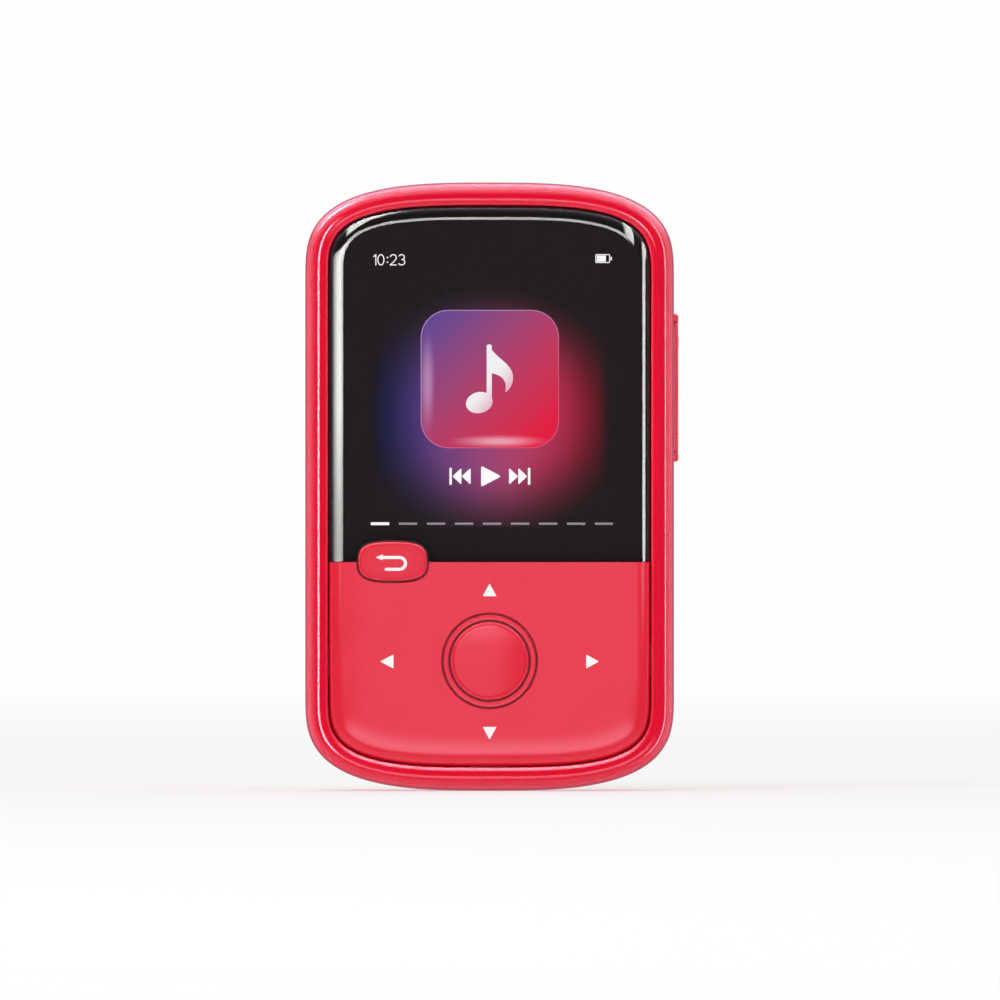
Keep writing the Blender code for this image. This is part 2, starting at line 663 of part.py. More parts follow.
def build_display_frame():
    frame = add("display_frame", box(x=(-15.3, 15.3), y=(-6.2, -4.55), z=(27.45, 62.15)), BLACK)
    cut(frame, "frame_bed", box(grow(LCD_X, 0.15), (-8, -3), grow(LCD_Z, 0.1)))
    cut(frame, "frame_notch", box(grow(RIBBON_X, 0.3), (-5.25, -3), (61.0, 63.0)))
    for i, side in enumerate(SIDES):
        cut(frame, f"frame_boss_{i}",
            rod("y", (side * BOSS_X, BOSS_Z[1]), BOSS_R + 0.12, (-8, -3), 16))


def build_lcd_ribbon():
    """A thin strip that folds over the top of the board."""
    path = [Vector((FOLD_Y - FOLD_R, RIBBON_ENDS_Z[0]))]
    for i in range(FOLD_STEPS + 1):
        angle = math.pi * (1 - i / FOLD_STEPS)
        path.append(Vector((FOLD_Y + FOLD_R * math.cos(angle),
                            FOLD_Z + FOLD_R * math.sin(angle))))
    path.append(Vector((FOLD_Y + FOLD_R, RIBBON_ENDS_Z[1])))
    inner, outer = [], []
    for i, point in enumerate(path):
        along = (path[min(i + 1, len(path) - 1)] - path[max(i - 1, 0)]).normalized()
        offset = Vector((-along.y, along.x)) * RIBBON_HALF_THICK
        outer.append(point + offset)
        inner.append(point - offset)
    add("lcd_ribbon", extrude_x(outer + inner[::-1], RIBBON_X), FILM)


# ---------------------------------------------------------------- main board and what it carries
# name, x span, thickness, z span, corner radius, material
BOARD_PARTS = [
    ("processor_chip", (2.0, 9.0), 0.85, (36.5, 43.5), 0.2, CHIP),
    ("flash_memory_chip", (0.5, 10.0), 0.95, (46.0, 54.0), 0.2, CHIP),
    ("radio_chip", (-6.0, -2.0), 0.8, (14.0, 18.0), 0.15, CHIP),
    ("power_manager_chip", (3.0, 7.0), 0.8, (28.5, 32.5), 0.15, CHIP),
    ("crystal", (11.5, 14.7), 0.8, (30.0, 32.5), 0.3, STEEL),
    ("battery_plug", (-3.0, 1.6), 1.6, (21.0, 24.2), 0.2, BACKLIGHT),
]
USB_SHELL_Y = (USB_Y - 1.25, USB_Y + 1.22)
USB_SHELL_Z = about(USB_Z, 3.75)
USB_SHEET = 0.25            # thickness of the shell


def build_main_board():
    """The board, slotted from each boss out to its edge, and the parts on its back."""
    pcb = add("main_pcb", case_skin([(INSET_PCB, y) for y in PCB_Y]), BOARD)
    for tag, (side, x, z) in BOSSES.items():
        cut(pcb, f"pcb_notch_{tag}", rod("y", (x, z), 1.5, (-5, -3), 16))
        cut(pcb, f"pcb_slot_{tag}", box(sided(side, BOSS_X, 19.0), (-5, -3), about(z, 1.45)))
    for name, x, thickness, z, radius, mat in BOARD_PARTS:
        part = rounded_box(x, (Y_PARTS, Y_PARTS + thickness), z, radius, 1, along="y")
        add(name, part, mat)


def build_headphone_jack():
    centre = (JACK_Y, JACK_Z)
    body = rounded_box(x=(6.2, 17.5), y=(Y_JACK_FRONT, 1.6), z=about(JACK_Z, 3.0),
                       radius=0.5, segments=1, along="x")
    jack = add("headphone_jack", body, BLACK)
    fuse(jack, "jack_nose", rod("x", centre, 1.98, (17.2, 19.75), 20))
    cut(jack, "jack_bore", rod("x", centre, 1.78, (7.0, 22.0), 20))


def build_usb_socket():
    shell = rounded_box((-19.6, -13.4), USB_SHELL_Y, USB_SHELL_Z, radius=0.55, along="x")
    usb = add("usb_shell", shell, STEEL)
    cut(usb, "usb_mouth",
        rounded_box((-21.0, -14.0), grow(USB_SHELL_Y, -USB_SHEET), grow(USB_SHELL_Z, -USB_SHEET),
                    radius=0.4, along="x"))
    add("usb_tongue",
        box(x=(-18.9, -14.15), y=(USB_Y - 0.1, USB_Y + 0.35), z=about(USB_Z, 2.2)), BLACK)


def build_card_socket():
    shell = rounded_box(x=(-18.3, -3.8), y=about(CARD_Y, 0.68), z=about(CARD_Z, 7.0),
                        radius=0.2, segments=1, along="x")
    card = add("card_socket", shell, STEEL)
    cut(card, "card_mouth",
        box(x=(-20.0, -4.4), y=(CARD_Y - 0.38, CARD_Y + 0.42), z=about(CARD_Z, 5.6)))


# ---------------------------------------------------------------- switches
DOME_SECTION = [            # (radius, y)
    (0.5, Y_DOME_TOP), (1.1, -4.58), (1.55, -4.46), (1.7, -4.34), (1.1, -4.33),
]


def build_domes():
    """Snap-action metal domes under the front keys."""
    for key, centre in {**MARKS, "select": PAD, "back": BACK_KEY}.items():
        add("switch_dome_" + key, turned(DOME_SECTION, centre, 14), STEEL, smooth=50)


def build_dome_sheet():
    film = rounded_box(x=(-14.2, 14.2), y=(-4.50, -4.36), z=(3.6, 27.4),
                       radius=2.5, segments=3, along="y")
    sheet = add("dome_sheet", film, FILM)
    for key, centre in {**MARKS, "back": BACK_KEY}.items():
        cut(sheet, "film_" + key, rod("y", centre, 1.9, (-5.0, -4.0), 14))
    cut(sheet, "film_centre", rod("y", PAD, 6.4, (-5.0, -4.0), 24))


def build_edge_switches():
    """The volume switches on their upright board, and the power switch."""
    add("side_key_board",
        box(x=(16.15, 16.65), y=(Y_JACK_FRONT, 0.9), z=about(ROCKER_Z, 7.0)), BOARD)
    for name, direction in (("volume_switch_up", 1), ("volume_switch_down", -1)):
        switch_z = about(ROCKER_Z + direction * ROCKER_SWITCH_OFFSET, 1.7)
        switch = rounded_box(x=(16.7, 17.15), y=about(ROCKER_Y, 1.3), z=switch_z,
                             radius=0.2, segments=1, along="x")
        add(name, switch, STEEL)
    switch = rounded_box(x=about(POWER_X, 2.2), y=(Y_PARTS, Y_PARTS + 1.7), z=(59.6, 62.4),
                         radius=0.2, segments=1, along="z")
    add("power_switch", switch, STEEL)


# ---------------------------------------------------------------- battery
LEAD_STEPS = 8
LEAD_START_Y, LEAD_START_Z = -0.9, 27.6
LEAD_SHIFT_Y, LEAD_DROP_Z = 1.4, 3.25      # towards the front, and down
LEAD_BOW = 0.5                             # sideways, half way along


def build_lead(name, x, mat):
    """A battery lead from the cell's lower edge to the plug."""
    points = []
    for i in range(LEAD_STEPS + 1):
        t = i / LEAD_STEPS
        ease = t * t * (3 - 2 * t)
        points.append((x + LEAD_BOW * math.sin(math.pi * t),
                       LEAD_START_Y - LEAD_SHIFT_Y * ease,
                       LEAD_START_Z - LEAD_DROP_Z * t))
    wire(name, points, 0.32, mat)


def build_battery():
    cell = rounded_box(x=(-11.8, 11.8), y=(-1.85, 1.68), z=(27.8, 57.5), radius=0.9)
    add("battery_cell", cell, POUCH)
    add("battery_tape", box(x=(-9.0, 9.0), y=(1.72, 1.86), z=(31.0, 54.0)), FOAM)
    build_lead("battery_lead_positive", -1.9, WIRE_RED)
    build_lead("battery_lead_negative", 0.3, WIRE_BLACK)


# ---------------------------------------------------------------- the whole player
for build in (
    build_front_bezel, build_face, build_pad_centre, build_back_button,
    build_rear_housing, build_screws, build_volume_rocker, build_power_button,
    build_clip, build_clip_pin, build_clip_spring,
    build_display, build_display_frame, build_lcd_ribbon,
    build_main_board, build_headphone_jack, build_usb_socket, build_card_socket,
    build_domes, build_dome_sheet, build_edge_switches, build_battery,
):
    build()
bpy.context.view_layer.update()
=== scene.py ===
# A pocket music player, 40 mm wide and 66 mm tall: a coral case with a display behind a dark
# lens, a direction pad below it, and a sprung clip on the back.
# It stands on z = 0 with z up. The front faces -y, the clip is at +y, and -x is its left side
# seen from the front. Shapes are built in millimetres and scaled to metres when they become meshes.
import functools
import json
import math

import bmesh
import bpy
from mathutils import Matrix, Vector


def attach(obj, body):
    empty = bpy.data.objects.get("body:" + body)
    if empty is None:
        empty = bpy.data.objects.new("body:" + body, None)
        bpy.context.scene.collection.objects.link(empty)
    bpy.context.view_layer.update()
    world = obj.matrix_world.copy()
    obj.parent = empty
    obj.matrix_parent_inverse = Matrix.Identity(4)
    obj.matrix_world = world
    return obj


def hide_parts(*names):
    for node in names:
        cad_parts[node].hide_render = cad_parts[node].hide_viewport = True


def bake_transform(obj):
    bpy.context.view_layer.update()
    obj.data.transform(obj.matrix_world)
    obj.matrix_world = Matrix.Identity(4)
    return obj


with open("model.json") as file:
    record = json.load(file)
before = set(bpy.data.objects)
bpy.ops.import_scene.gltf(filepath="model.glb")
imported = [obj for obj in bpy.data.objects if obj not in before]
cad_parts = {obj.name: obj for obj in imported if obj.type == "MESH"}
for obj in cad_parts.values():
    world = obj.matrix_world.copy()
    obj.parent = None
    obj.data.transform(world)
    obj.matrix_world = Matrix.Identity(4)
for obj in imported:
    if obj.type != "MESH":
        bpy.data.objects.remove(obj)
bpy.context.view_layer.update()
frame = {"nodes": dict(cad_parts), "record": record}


MM = 0.001

# ================================================================ dimensions, mm
# case outline: half width, height, corner height and superellipse power
HALF_WIDTH, HEIGHT, CORNER, POWER = 20.0, 66.0, 10.2, 3.02
TOP_CENTRE, LOW_CENTRE = HEIGHT - CORNER, CORNER     # z of the corner centres
QUARTER_STEPS, SIDE_STEPS = 34, 26

# depths, front to back
Y_FACE, Y_CREST, Y_LIP, Y_PLATE_BACK = -8.15, -8.10, -7.00, -6.90
Y_PART_FRONT, Y_PART_REAR, Y_FLOOR, Y_BACK = -5.05, -4.90, 1.90, 3.20
Y_PLUNGER = -4.96
FRONT = Y_CREST * MM                                 # metres
# insets from the outline
WALL, IN_FLANGE, IN_OPEN, IN_PLATE = 1.5, 1.8, 2.5, 2.59
Z_SEAM, SEAM_HALF = 24.85, 0.035                     # joint of the lens and the pad plate

PAD = (0.0, 14.1)                                    # x, z
PLUNGER_REACH = (11.15, 8.0)                         # from the pad's centre, in x and z
SELECT_R, COLLAR_IN, COLLAR_OUT, PAD_HOLE_R = 4.27, 4.44, 5.03, 5.19
BACK_KEY, BACK_KEY_HALF = (-10.5, 24.9), (3.72, 2.12)
ACTIVE_HALF_W, ACTIVE_Z = 13.4, (28.6, 58.8)         # lit area of the display
BOSS_X, BOSS_Z, BOSS_R = 16.25, (9.5, 53.5), 1.2
BOSSES = [(side, z) for side in (-1, 1) for z in BOSS_Z]
SCREW_HOLE_R = 0.85

ROCKER_Z, ROCKER_Y, ROCKER_HALF, ROCKER_OUT = 43.75, -1.3, 7.1, 20.50
ROCKER_PRESS = 5.0                                   # marks and plungers, from its middle
POWER_X, POWER_Y = 8.0, -1.5
HINGE, PIN_R, KNUCKLE_R, PIN_HOLE_R = (4.9, 49.0), 0.70, 1.5, 0.79    # HINGE: y, z
HINGE_Y, HINGE_Z = HINGE
CLIP_Y, CLIP_HALF_W, CLIP_Z = (6.6, 8.5), 12.5, (13.0, 59.0)
CLIP_CORNER, CLIP_POWER = 6.0, 2.6
JACK = (-0.9, 14.2)                                  # y, z
USB_Z, USB_Y = 17.0, -2.15
CARD_Z, CARD_Y = 40.0, -2.75


# ================================================================ colours
def srgb(red, green, blue):
    """8-bit display values to linear light."""
    return tuple((c / 255 / 12.92) if c / 255 <= 0.04045 else ((c / 255 + 0.055) / 1.055) ** 2.4
                 for c in (red, green, blue))


def display(red, green, blue):
    """8-bit display values to 0..1, still as display values."""
    return red / 255, green / 255, blue / 255


def tint(colour, gain, lift=0.0):
    return tuple(min(1.0, c * gain + lift) for c in colour)


# ================================================================ shader building
class Tree:
    """Short forms for building a node tree."""

    def __init__(self, node_tree):
        self.nodes, self.links = node_tree.nodes, node_tree.links
        self.nodes.clear()

    def new(self, kind, inputs=None, **settings):
        node = self.nodes.new(kind)
        for name, value in settings.items():
            setattr(node, name, value)
        for key, value in (inputs or {}).items():
            self.put(node.inputs[key], value)
        return node

    def put(self, socket, value):
        """Links a socket, or sets a number, a vector or a colour."""
        if isinstance(value, bpy.types.NodeSocket):
            self.links.new(value, socket)
        elif isinstance(value, (tuple, list)) and len(value) == 3 and socket.type == "RGBA":
            socket.default_value = (*value, 1.0)
        else:
            socket.default_value = value

    def math(self, operation, first, second=None, clamp=False):
        inputs = {0: first} if second is None else {0: first, 1: second}
        return self.new("ShaderNodeMath", inputs, operation=operation, use_clamp=clamp).outputs[0]

    def fold(self, operation, terms):
        return functools.reduce(lambda one, two: self.math(operation, one, two), terms)

    def add(self, *terms):
        return self.fold("ADD", terms)

    def mul(self, *terms):
        return self.fold("MULTIPLY", terms)

    def sub(self, first, second, clamp=False):
        return self.math("SUBTRACT", first, second, clamp)

    def square_sum(self, first, second):
        return self.add(self.mul(first, first), self.mul(second, second))

    def length(self, first, second):
        return self.math("SQRT", self.square_sum(first, second))

    def step(self, value, start, end, low=0.0, high=1.0, kind="SMOOTHSTEP"):
        """Goes from low to high as value goes from start to end."""
        inputs = dict(enumerate((value, start, end, low, high)))
        return self.new("ShaderNodeMapRange", inputs, interpolation_type=kind).outputs[0]

    def band(self, value, start, end, soft):
        """1 between start and end, fading to 0 across soft to either side of each."""
        rise = self.step(value, start - soft, start + soft)
        fall = self.step(value, end - soft, end + soft, 1.0, 0.0)
        return self.mul(rise, fall)

    def ladder(self, value, stops):
        """A smooth function of value through stops of (place, level)."""
        total = stops[0][1]
        for (start, low), (end, high) in zip(stops, stops[1:]):
            total = self.add(total, self.step(value, start, end, 0.0, high - low))
        return total

    def mix(self, factor, first, second):
        inputs = {0: factor, 6: first, 7: second}
        return self.new("ShaderNodeMix", inputs, data_type="RGBA").outputs[2]

    def xyz(self, vector):
        return self.new("ShaderNodeSeparateXYZ", {0: vector}).outputs

    def coords(self, kind="Object"):
        return self.new("ShaderNodeTexCoord").outputs[kind]

    def mapped(self, scale, rotation=(0, 0, 0)):
        inputs = {0: self.coords(), "Rotation": rotation, "Scale": scale}
        return self.new("ShaderNodeMapping", inputs).outputs[0]

    def noise(self, scale, detail=3.0, rough=0.55, vector=None, distortion=0.0):
        return self.new("ShaderNodeTexNoise", {
            "Vector": vector or self.coords(), "Scale": scale, "Detail": detail,
            "Roughness": rough, "Distortion": distortion}).outputs["Fac"]

    def bump(self, height, strength, distance=0.00003):
        inputs = {"Strength": strength, "Distance": distance, "Height": height}
        return self.new("ShaderNodeBump", inputs).outputs[0]

    def out(self, shader):
        self.new("ShaderNodeOutputMaterial", {"Surface": shader})

    def principled(self, inputs):
        self.out(self.new("ShaderNodeBsdfPrincipled", inputs).outputs[0])


def new_material(name, viewport):
    material = bpy.data.materials.new(name)
    material.use_nodes = True
    material.diffuse_color = (*viewport, 1.0)
    return material, Tree(material.node_tree)


def scratches(tree):
    """0..1: thin hairlines, in two crossing directions."""
    scale, angle = 260.0, 0.6
    lines = []
    for k, turn in enumerate((angle, -angle * 1.7)):
        stretched = tree.mapped((scale * 9, scale * 9, scale * 0.35), (0.0, turn, 0.3 * k))
        grain = tree.noise(1.0, detail=2.0, rough=0.5, vector=stretched, distortion=0.15)
        lines.append(tree.step(grain, 0.67, 0.78))
    return tree.math("MAXIMUM", *lines)


EDGE_WEAR = 0.0          # strength of the pale rubbed edges of the plastic


def plastic(name, colour, deep, rough, coat_rough, spec, coat=1.0, coat_peel=0.006):
    """Moulded gloss plastic: a body with slight flow variation under a thin clear coat with
    fine orange peel, handling haze and hairlines."""
    material, tree = new_material(name, colour)
    flow = tree.noise(140.0, detail=4.0, rough=0.5, distortion=0.6)
    fine = tree.noise(2200.0, rough=0.6)
    body = tree.mix(tree.step(flow, 0.30, 0.72), colour, deep)
    body = tree.mix(tree.step(fine, 0.35, 0.75, high=0.10), body, tint(colour, 1.25, 0.01))
    pointiness = tree.new("ShaderNodeNewGeometry").outputs["Pointiness"]
    patches = tree.step(tree.noise(900.0, detail=4.0, rough=0.6), 0.42, 0.62)
    rub = tree.mul(tree.step(pointiness, 0.53, 0.62), patches, EDGE_WEAR)
    haze = tree.step(tree.noise(75.0, detail=5.0, rough=0.62, distortion=0.4), 0.45, 0.75)
    tree.principled({
        "Base Color": tree.mix(rub, body, tint(colour, 0.86, 0.13)),
        "Roughness": tree.add(rough, tree.mul(fine, 0.08), tree.mul(rub, 0.25)),
        "IOR": 1.49,
        "Specular IOR Level": spec,
        "Coat Weight": coat,
        "Coat Roughness": tree.add(coat_rough, tree.mul(haze, 0.035),
                                   tree.mul(scratches(tree), 0.06)),
        "Coat IOR": 1.5,
        "Normal": tree.bump(tree.noise(5200.0, detail=2.0, rough=0.5), 0.05, 0.00004),
        "Coat Normal": tree.bump(tree.noise(1500.0, detail=2.0, rough=0.5), coat_peel, 0.00005)})
    return material


def clear_lens(name):
    """Clear acrylic as a surface only: it shows what lies behind it and mirrors the studio,
    with faint handling haze."""
    material, tree = new_material(name, (0.05, 0.05, 0.05))
    haze = tree.step(tree.noise(60.0, detail=5.0, rough=0.6, distortion=0.5), 0.48, 0.78)
    mirror = tree.new("ShaderNodeBsdfGlossy", {
        "Color": (1.0, 1.0, 0.99),
        "Roughness": tree.add(0.018, tree.mul(haze, 0.02))}, distribution="GGX")
    clear = tree.new("ShaderNodeBsdfTransparent", {"Color": (0.96, 0.955, 0.96)})
    fresnel = tree.new("ShaderNodeFresnel", {"IOR": 1.49})
    is_front = tree.sub(1.0, tree.new("ShaderNodeNewGeometry").outputs["Backfacing"])
    tree.out(tree.new("ShaderNodeMixShader", {
        0: tree.mul(fresnel.outputs[0], is_front),
        1: clear.outputs[0], 2: mirror.outputs[0]}).outputs[0])
    return material


def metal(name, colour, rough, grain, bump=0.12):
    """Rolled or drawn metal: a stretched grain in roughness and bump, and a little tarnish."""
    material, tree = new_material(name, colour)
    stretched = tree.mapped(tuple(5200.0 * axis for axis in grain))
    brushed = tree.noise(1.0, rough=0.6, vector=stretched)
    stain = tree.step(tree.noise(420.0, detail=4.0, rough=0.6), 0.4, 0.8)
    tree.principled({
        "Metallic": 1.0,
        "Base Color": tree.mix(stain, colour, tint(colour, 0.78)),
        "Roughness": tree.add(rough, tree.mul(brushed, 0.18)),
        "Normal": tree.bump(brushed, bump)})
    return material


def matte(name, colour, rough, grain, mottle, bump, spec=0.4, sheen=0.0):
    """Moulded, printed or rubbery stuff with a fine grain. mottle is the strength of the broad
    darker patches."""
    material, tree = new_material(name, colour)
    fine = tree.noise(grain, detail=4.0, rough=0.6)
    broad = tree.noise(grain / 12, rough=0.5)
    patches = tree.step(broad, 0.3, 0.75, high=mottle * 2)
    tree.principled({
        "Base Color": tree.mix(patches, colour, tint(colour, 0.72)),
        "Roughness": tree.add(rough - 0.06, tree.mul(fine, 0.14)),
        "Specular IOR Level": spec,
        "Sheen Weight": sheen,
        "Normal": tree.bump(fine, bump)})
    return material


def board(name, colour):
    """Circuit board: solder mask over copper tracks, with bare pads."""
    material, tree = new_material(name, colour)
    place = tree.xyz(tree.mapped((900.0, 900.0, 900.0)))
    flat = tree.new("ShaderNodeCombineXYZ", {0: place[0], 1: place[2]}).outputs[0]
    brick = tree.new("ShaderNodeTexBrick", {"Vector": flat, "Scale": 1.0, "Mortar Size": 0.06},
                     offset=0.37, squash=1.6)
    track = tree.sub(1.0, brick.outputs["Fac"])
    cells = tree.new("ShaderNodeTexVoronoi", {"Vector": flat, "Scale": 0.9})
    pad = tree.step(cells.outputs["Distance"], 0.10, 0.13, 1.0, 0.0)
    body = tree.mix(track, tint(colour, 1.7, 0.01), colour)
    tree.principled({
        "Base Color": tree.mix(pad, body, (0.75, 0.56, 0.25)),
        "Metallic": pad,
        "Roughness": tree.add(0.3, tree.mul(tree.noise(3000.0), 0.12)),
        "Normal": tree.bump(tree.sub(1.0, track), 0.2)})
    return material


def glow(name, viewport, build):
    """A lit display element. build(tree, x, z) gives its colour from the position in mm."""
    material, tree = new_material(name, viewport)
    place = tree.xyz(tree.coords())
    colour = build(tree, tree.mul(place[0], 1000.0), tree.mul(place[2], 1000.0))
    tree.out(tree.new("ShaderNodeEmission", {"Color": colour}).outputs[0])
    material.cycles.emission_sampling = "NONE"
    return material


# ================================================================ the materials
CORAL, CORAL_DEEP = srgb(229, 3, 46), srgb(223, 2, 40)
FACE, FACE_DEEP = srgb(230, 18, 50), srgb(227, 13, 45)

# keyed by material slot
FINISH = {
    "red_shell": plastic("coral_shell", CORAL, CORAL_DEEP, rough=0.26, coat_rough=0.045,
                         spec=0.09, coat_peel=0.003),
    "red_clip": plastic("coral_clip", CORAL, CORAL_DEEP, rough=0.36, coat_rough=0.10,
                        spec=0.2, coat_peel=0.003),
    "red_face": plastic("coral_face", FACE, FACE_DEEP, rough=0.34, coat_rough=0.10,
                        spec=0.3, coat=0.9),
    "red_key": plastic("coral_key", FACE, FACE_DEEP, rough=0.34, coat_rough=0.12,
                       spec=0.3, coat=0.9),
    "lens_black": matte("lens_back_print", (0.0212, 0.0178, 0.0178),
                        rough=0.6, grain=2600.0, mottle=0.08, bump=0.05, spec=0.0),
    "lcd_glass": matte("lcd_glass_off", (0.006, 0.006, 0.0075),
                       rough=0.25, grain=1500.0, mottle=0.1, bump=0.02),
    "backlight_white": matte("nylon_white", srgb(222, 222, 216),
                             rough=0.5, grain=2400.0, mottle=0.1, bump=0.15),
    "foam_black": matte("foam_black", srgb(30, 30, 31),
                        rough=0.9, grain=5200.0, mottle=0.2, bump=0.9, spec=0.15, sheen=0.2),
    "silicone_grey": matte("silicone_grey", srgb(96, 98, 102),
                           rough=0.55, grain=900.0, mottle=0.12, bump=0.2),
    "solder_mask_green": board("solder_mask_green", srgb(16, 72, 46)),
    "chip_epoxy": matte("chip_epoxy", srgb(26, 26, 28),
                        rough=0.6, grain=4200.0, mottle=0.2, bump=0.5),
    "steel": metal("bright_steel", srgb(205, 206, 208), rough=0.18, grain=(1.0, 1.0, 0.06)),
    "dark_steel": metal("dark_steel", srgb(98, 98, 102), rough=0.26, grain=(0.4, 1.0, 0.4)),
    "film_amber": matte("film_amber", srgb(190, 122, 36),
                        rough=0.25, grain=700.0, mottle=0.15, bump=0.05, spec=0.6),
    "battery_pouch": metal("battery_pouch", srgb(176, 178, 182), rough=0.32,
                           grain=(0.3, 1.0, 0.3), bump=0.25),
    "moulded_black": matte("moulded_black", srgb(22, 22, 23),
                           rough=0.42, grain=3000.0, mottle=0.12, bump=0.25),
    "wire_red": matte("wire_red", srgb(190, 22, 26),
                      rough=0.4, grain=1500.0, mottle=0.1, bump=0.1),
    "wire_black": matte("wire_black", srgb(20, 20, 22),
                        rough=0.4, grain=1500.0, mottle=0.1, bump=0.1),
}
LENS_CLEAR = clear_lens("lens_clear")
INK_WHITE = matte("ink_white", srgb(253, 252, 252),
                  rough=0.42, grain=5200.0, mottle=0.05, bump=0.12, spec=0.3)
GOLD = metal("contact_gold", srgb(214, 172, 92), rough=0.2, grain=(1.0, 1.0, 0.1))
SOCKET_LINING = metal("socket_lining", srgb(150, 150, 154), rough=0.25, grain=(1.0, 0.2, 0.2))


# ================================================================ points and outlines
def clamp01(value):
    return min(max(value, 0.0), 1.0)


def around(centre, half):
    return centre - half, centre + half


def span(side, near, far):
    """The x range between two distances from the middle, on the side -1 or 1."""
    return sorted((side * near, side * far))


def arc(centre, reach, degrees):
    """Points of an elliptic arc at the given angles."""
    return [(centre[0] + reach[0] * math.cos(math.radians(angle)),
             centre[1] + reach[1] * math.sin(math.radians(angle))) for angle in degrees]


def even_angles(steps):
    return [math.pi / 2 * i / steps for i in range(steps + 1)]


def super_quarter(half_x, half_z, power, angles):
    """A quarter of a superellipse, from the x axis to the z axis."""
    return [(half_x * max(math.cos(angle), 0.0) ** (2 / power),
             half_z * math.sin(angle) ** (2 / power)) for angle in angles]


def corner_angles():
    """Angles round a case corner, spread evenly by length and by turning together."""
    fine = 1200
    points = super_quarter(HALF_WIDTH, CORNER, POWER, even_angles(fine))
    cost, heading = [0.0], None
    for (x0, z0), (x1, z1) in zip(points, points[1:]):
        new = math.atan2(z1 - z0, x1 - x0)
        turn = 0.0 if heading is None else abs(new - heading)
        heading = new
        cost.append(cost[-1] + math.hypot(x1 - x0, z1 - z0) / 24.0 + turn / (math.pi / 2))
    angles, j = [0.0], 0
    for k in range(1, QUARTER_STEPS):
        want = cost[-1] * k / QUARTER_STEPS
        while cost[j] < want:
            j += 1
        angles.append(math.pi / 2 * j / fine)
    return angles + [math.pi / 2]


ANGLES = corner_angles()


def tall_loop(quarter, half_width, top, bottom, side_steps, low=1.0):
    """A closed (x, z) loop with straight sides. low scales the height of the lower end."""
    side = [top + (bottom - top) * i / side_steps for i in range(1, side_steps)]
    loop = [(x, top + z) for x, z in quarter]
    loop += [(-x, top + z) for x, z in reversed(quarter[:-1])]
    loop += [(-half_width, z) for z in side]
    loop += [(-x, bottom - z * low) for x, z in quarter]
    loop += [(x, bottom - z * low) for x, z in reversed(quarter[:-1])]
    return loop + [(half_width, z) for z in reversed(side)]


def outline(inset, y, foot=0.0):
    """The case outline, inset, its lower edge raised by foot. y is a depth, or gives it from z."""
    half_width, corner = HALF_WIDTH - inset, CORNER - inset
    power = POWER + 0.13 * min(inset, 4.6)           # the corners get a little squarer inwards
    quarter = super_quarter(half_width, corner, power, ANGLES)
    loop = tall_loop(quarter, half_width, TOP_CENTRE, LOW_CENTRE, SIDE_STEPS,
                     low=(corner - foot) / corner)
    return [Vector((x, y(z) if callable(y) else y, z)) for x, z in loop]


def front_outline(inset, y):
    """The same for the front pieces, whose border is a little wider at the foot."""
    return outline(inset, y, 0.1 * clamp01((inset - 1.2) / 1.3))


def pill(half_x, half_z, centre, y, power=3.0):
    quarter = super_quarter(half_x, half_z, power, even_angles(22))
    loop = quarter + [(-x, z) for x, z in reversed(quarter[:-1])]
    loop += [(-x, -z) for x, z in quarter[1:]] + [(x, -z) for x, z in reversed(quarter[1:-1])]
    return [Vector((centre[0] + x, y, centre[1] + z)) for x, z in loop]


def rounded_rect(half_u, half_v, radius, centre, steps):
    """A rectangle with circular corners."""
    points = []
    for side_u, side_v, start in ((1, 1, 0), (-1, 1, 90), (-1, -1, 180), (1, -1, 270)):
        middle = (centre[0] + side_u * (half_u - radius), centre[1] + side_v * (half_v - radius))
        points += arc(middle, (radius, radius), [start + 90 * k / steps for k in range(steps + 1)])
    return points


def rounded_polygon(corners, radius, steps=4):
    """A polygon's corners replaced by small curves."""
    points = []
    for i, corner in enumerate(corners):
        corner, before = Vector(corner), Vector(corners[i - 1])
        after = Vector(corners[(i + 1) % len(corners)])
        back, ahead = (before - corner).normalized(), (after - corner).normalized()
        half_angle = math.acos(max(-1.0, min(1.0, back.dot(ahead)))) / 2
        reach = radius / math.tan(half_angle)
        start, end = corner + back * reach, corner + ahead * reach
        for k in range(steps + 1):
            s = k / steps
            point = start * (1 - s) ** 2 + corner * 2 * s * (1 - s) + end * s ** 2
            points.append((point.x, point.y))
    return points


def rounded_box(x0, x1, z0, z1, radius, steps=4):
    return rounded_polygon([(x0, z0), (x1, z0), (x1, z1), (x0, z1)], radius, steps)


def bezier(start, handle_a, handle_b, end, steps=14):
    def point(s):
        return tuple(start[k] * (1 - s) ** 3 + 3 * handle_a[k] * s * (1 - s) ** 2
                     + 3 * handle_b[k] * s * s * (1 - s) + end[k] * s ** 3 for k in (0, 1))
    return [point(i / steps) for i in range(steps + 1)]


# ================================================================ solids (bmesh, mm)
def skin(rings, closed=False, bands=None, solid=None):
    """Bridges equal loops, and caps the ends unless closed. bands: a material slot per band."""
    solid = solid or bmesh.new()
    loops = [[solid.verts.new(point) for point in ring] for ring in rings]
    count = len(loops[0])
    pairs = list(zip(loops, loops[1:])) + ([(loops[-1], loops[0])] if closed else [])
    for k, (one, two) in enumerate(pairs):
        for i in range(count):
            j = (i + 1) % count
            face = solid.faces.new((one[i], one[j], two[j], two[i]))
            face.material_index = bands[k] if bands else 0
    if not closed:
        solid.faces.new(list(reversed(loops[0])))
        solid.faces.new(loops[-1])
    return solid


def box(x0, x1, y0, y1, z0, z1):
    solid = bmesh.new()
    for vert in bmesh.ops.create_cube(solid, size=1.0)["verts"]:
        vert.co = Vector([(low + high) / 2 + c * (high - low)
                          for c, low, high in zip(vert.co, (x0, y0, z0), (x1, y1, z1))])
    return solid


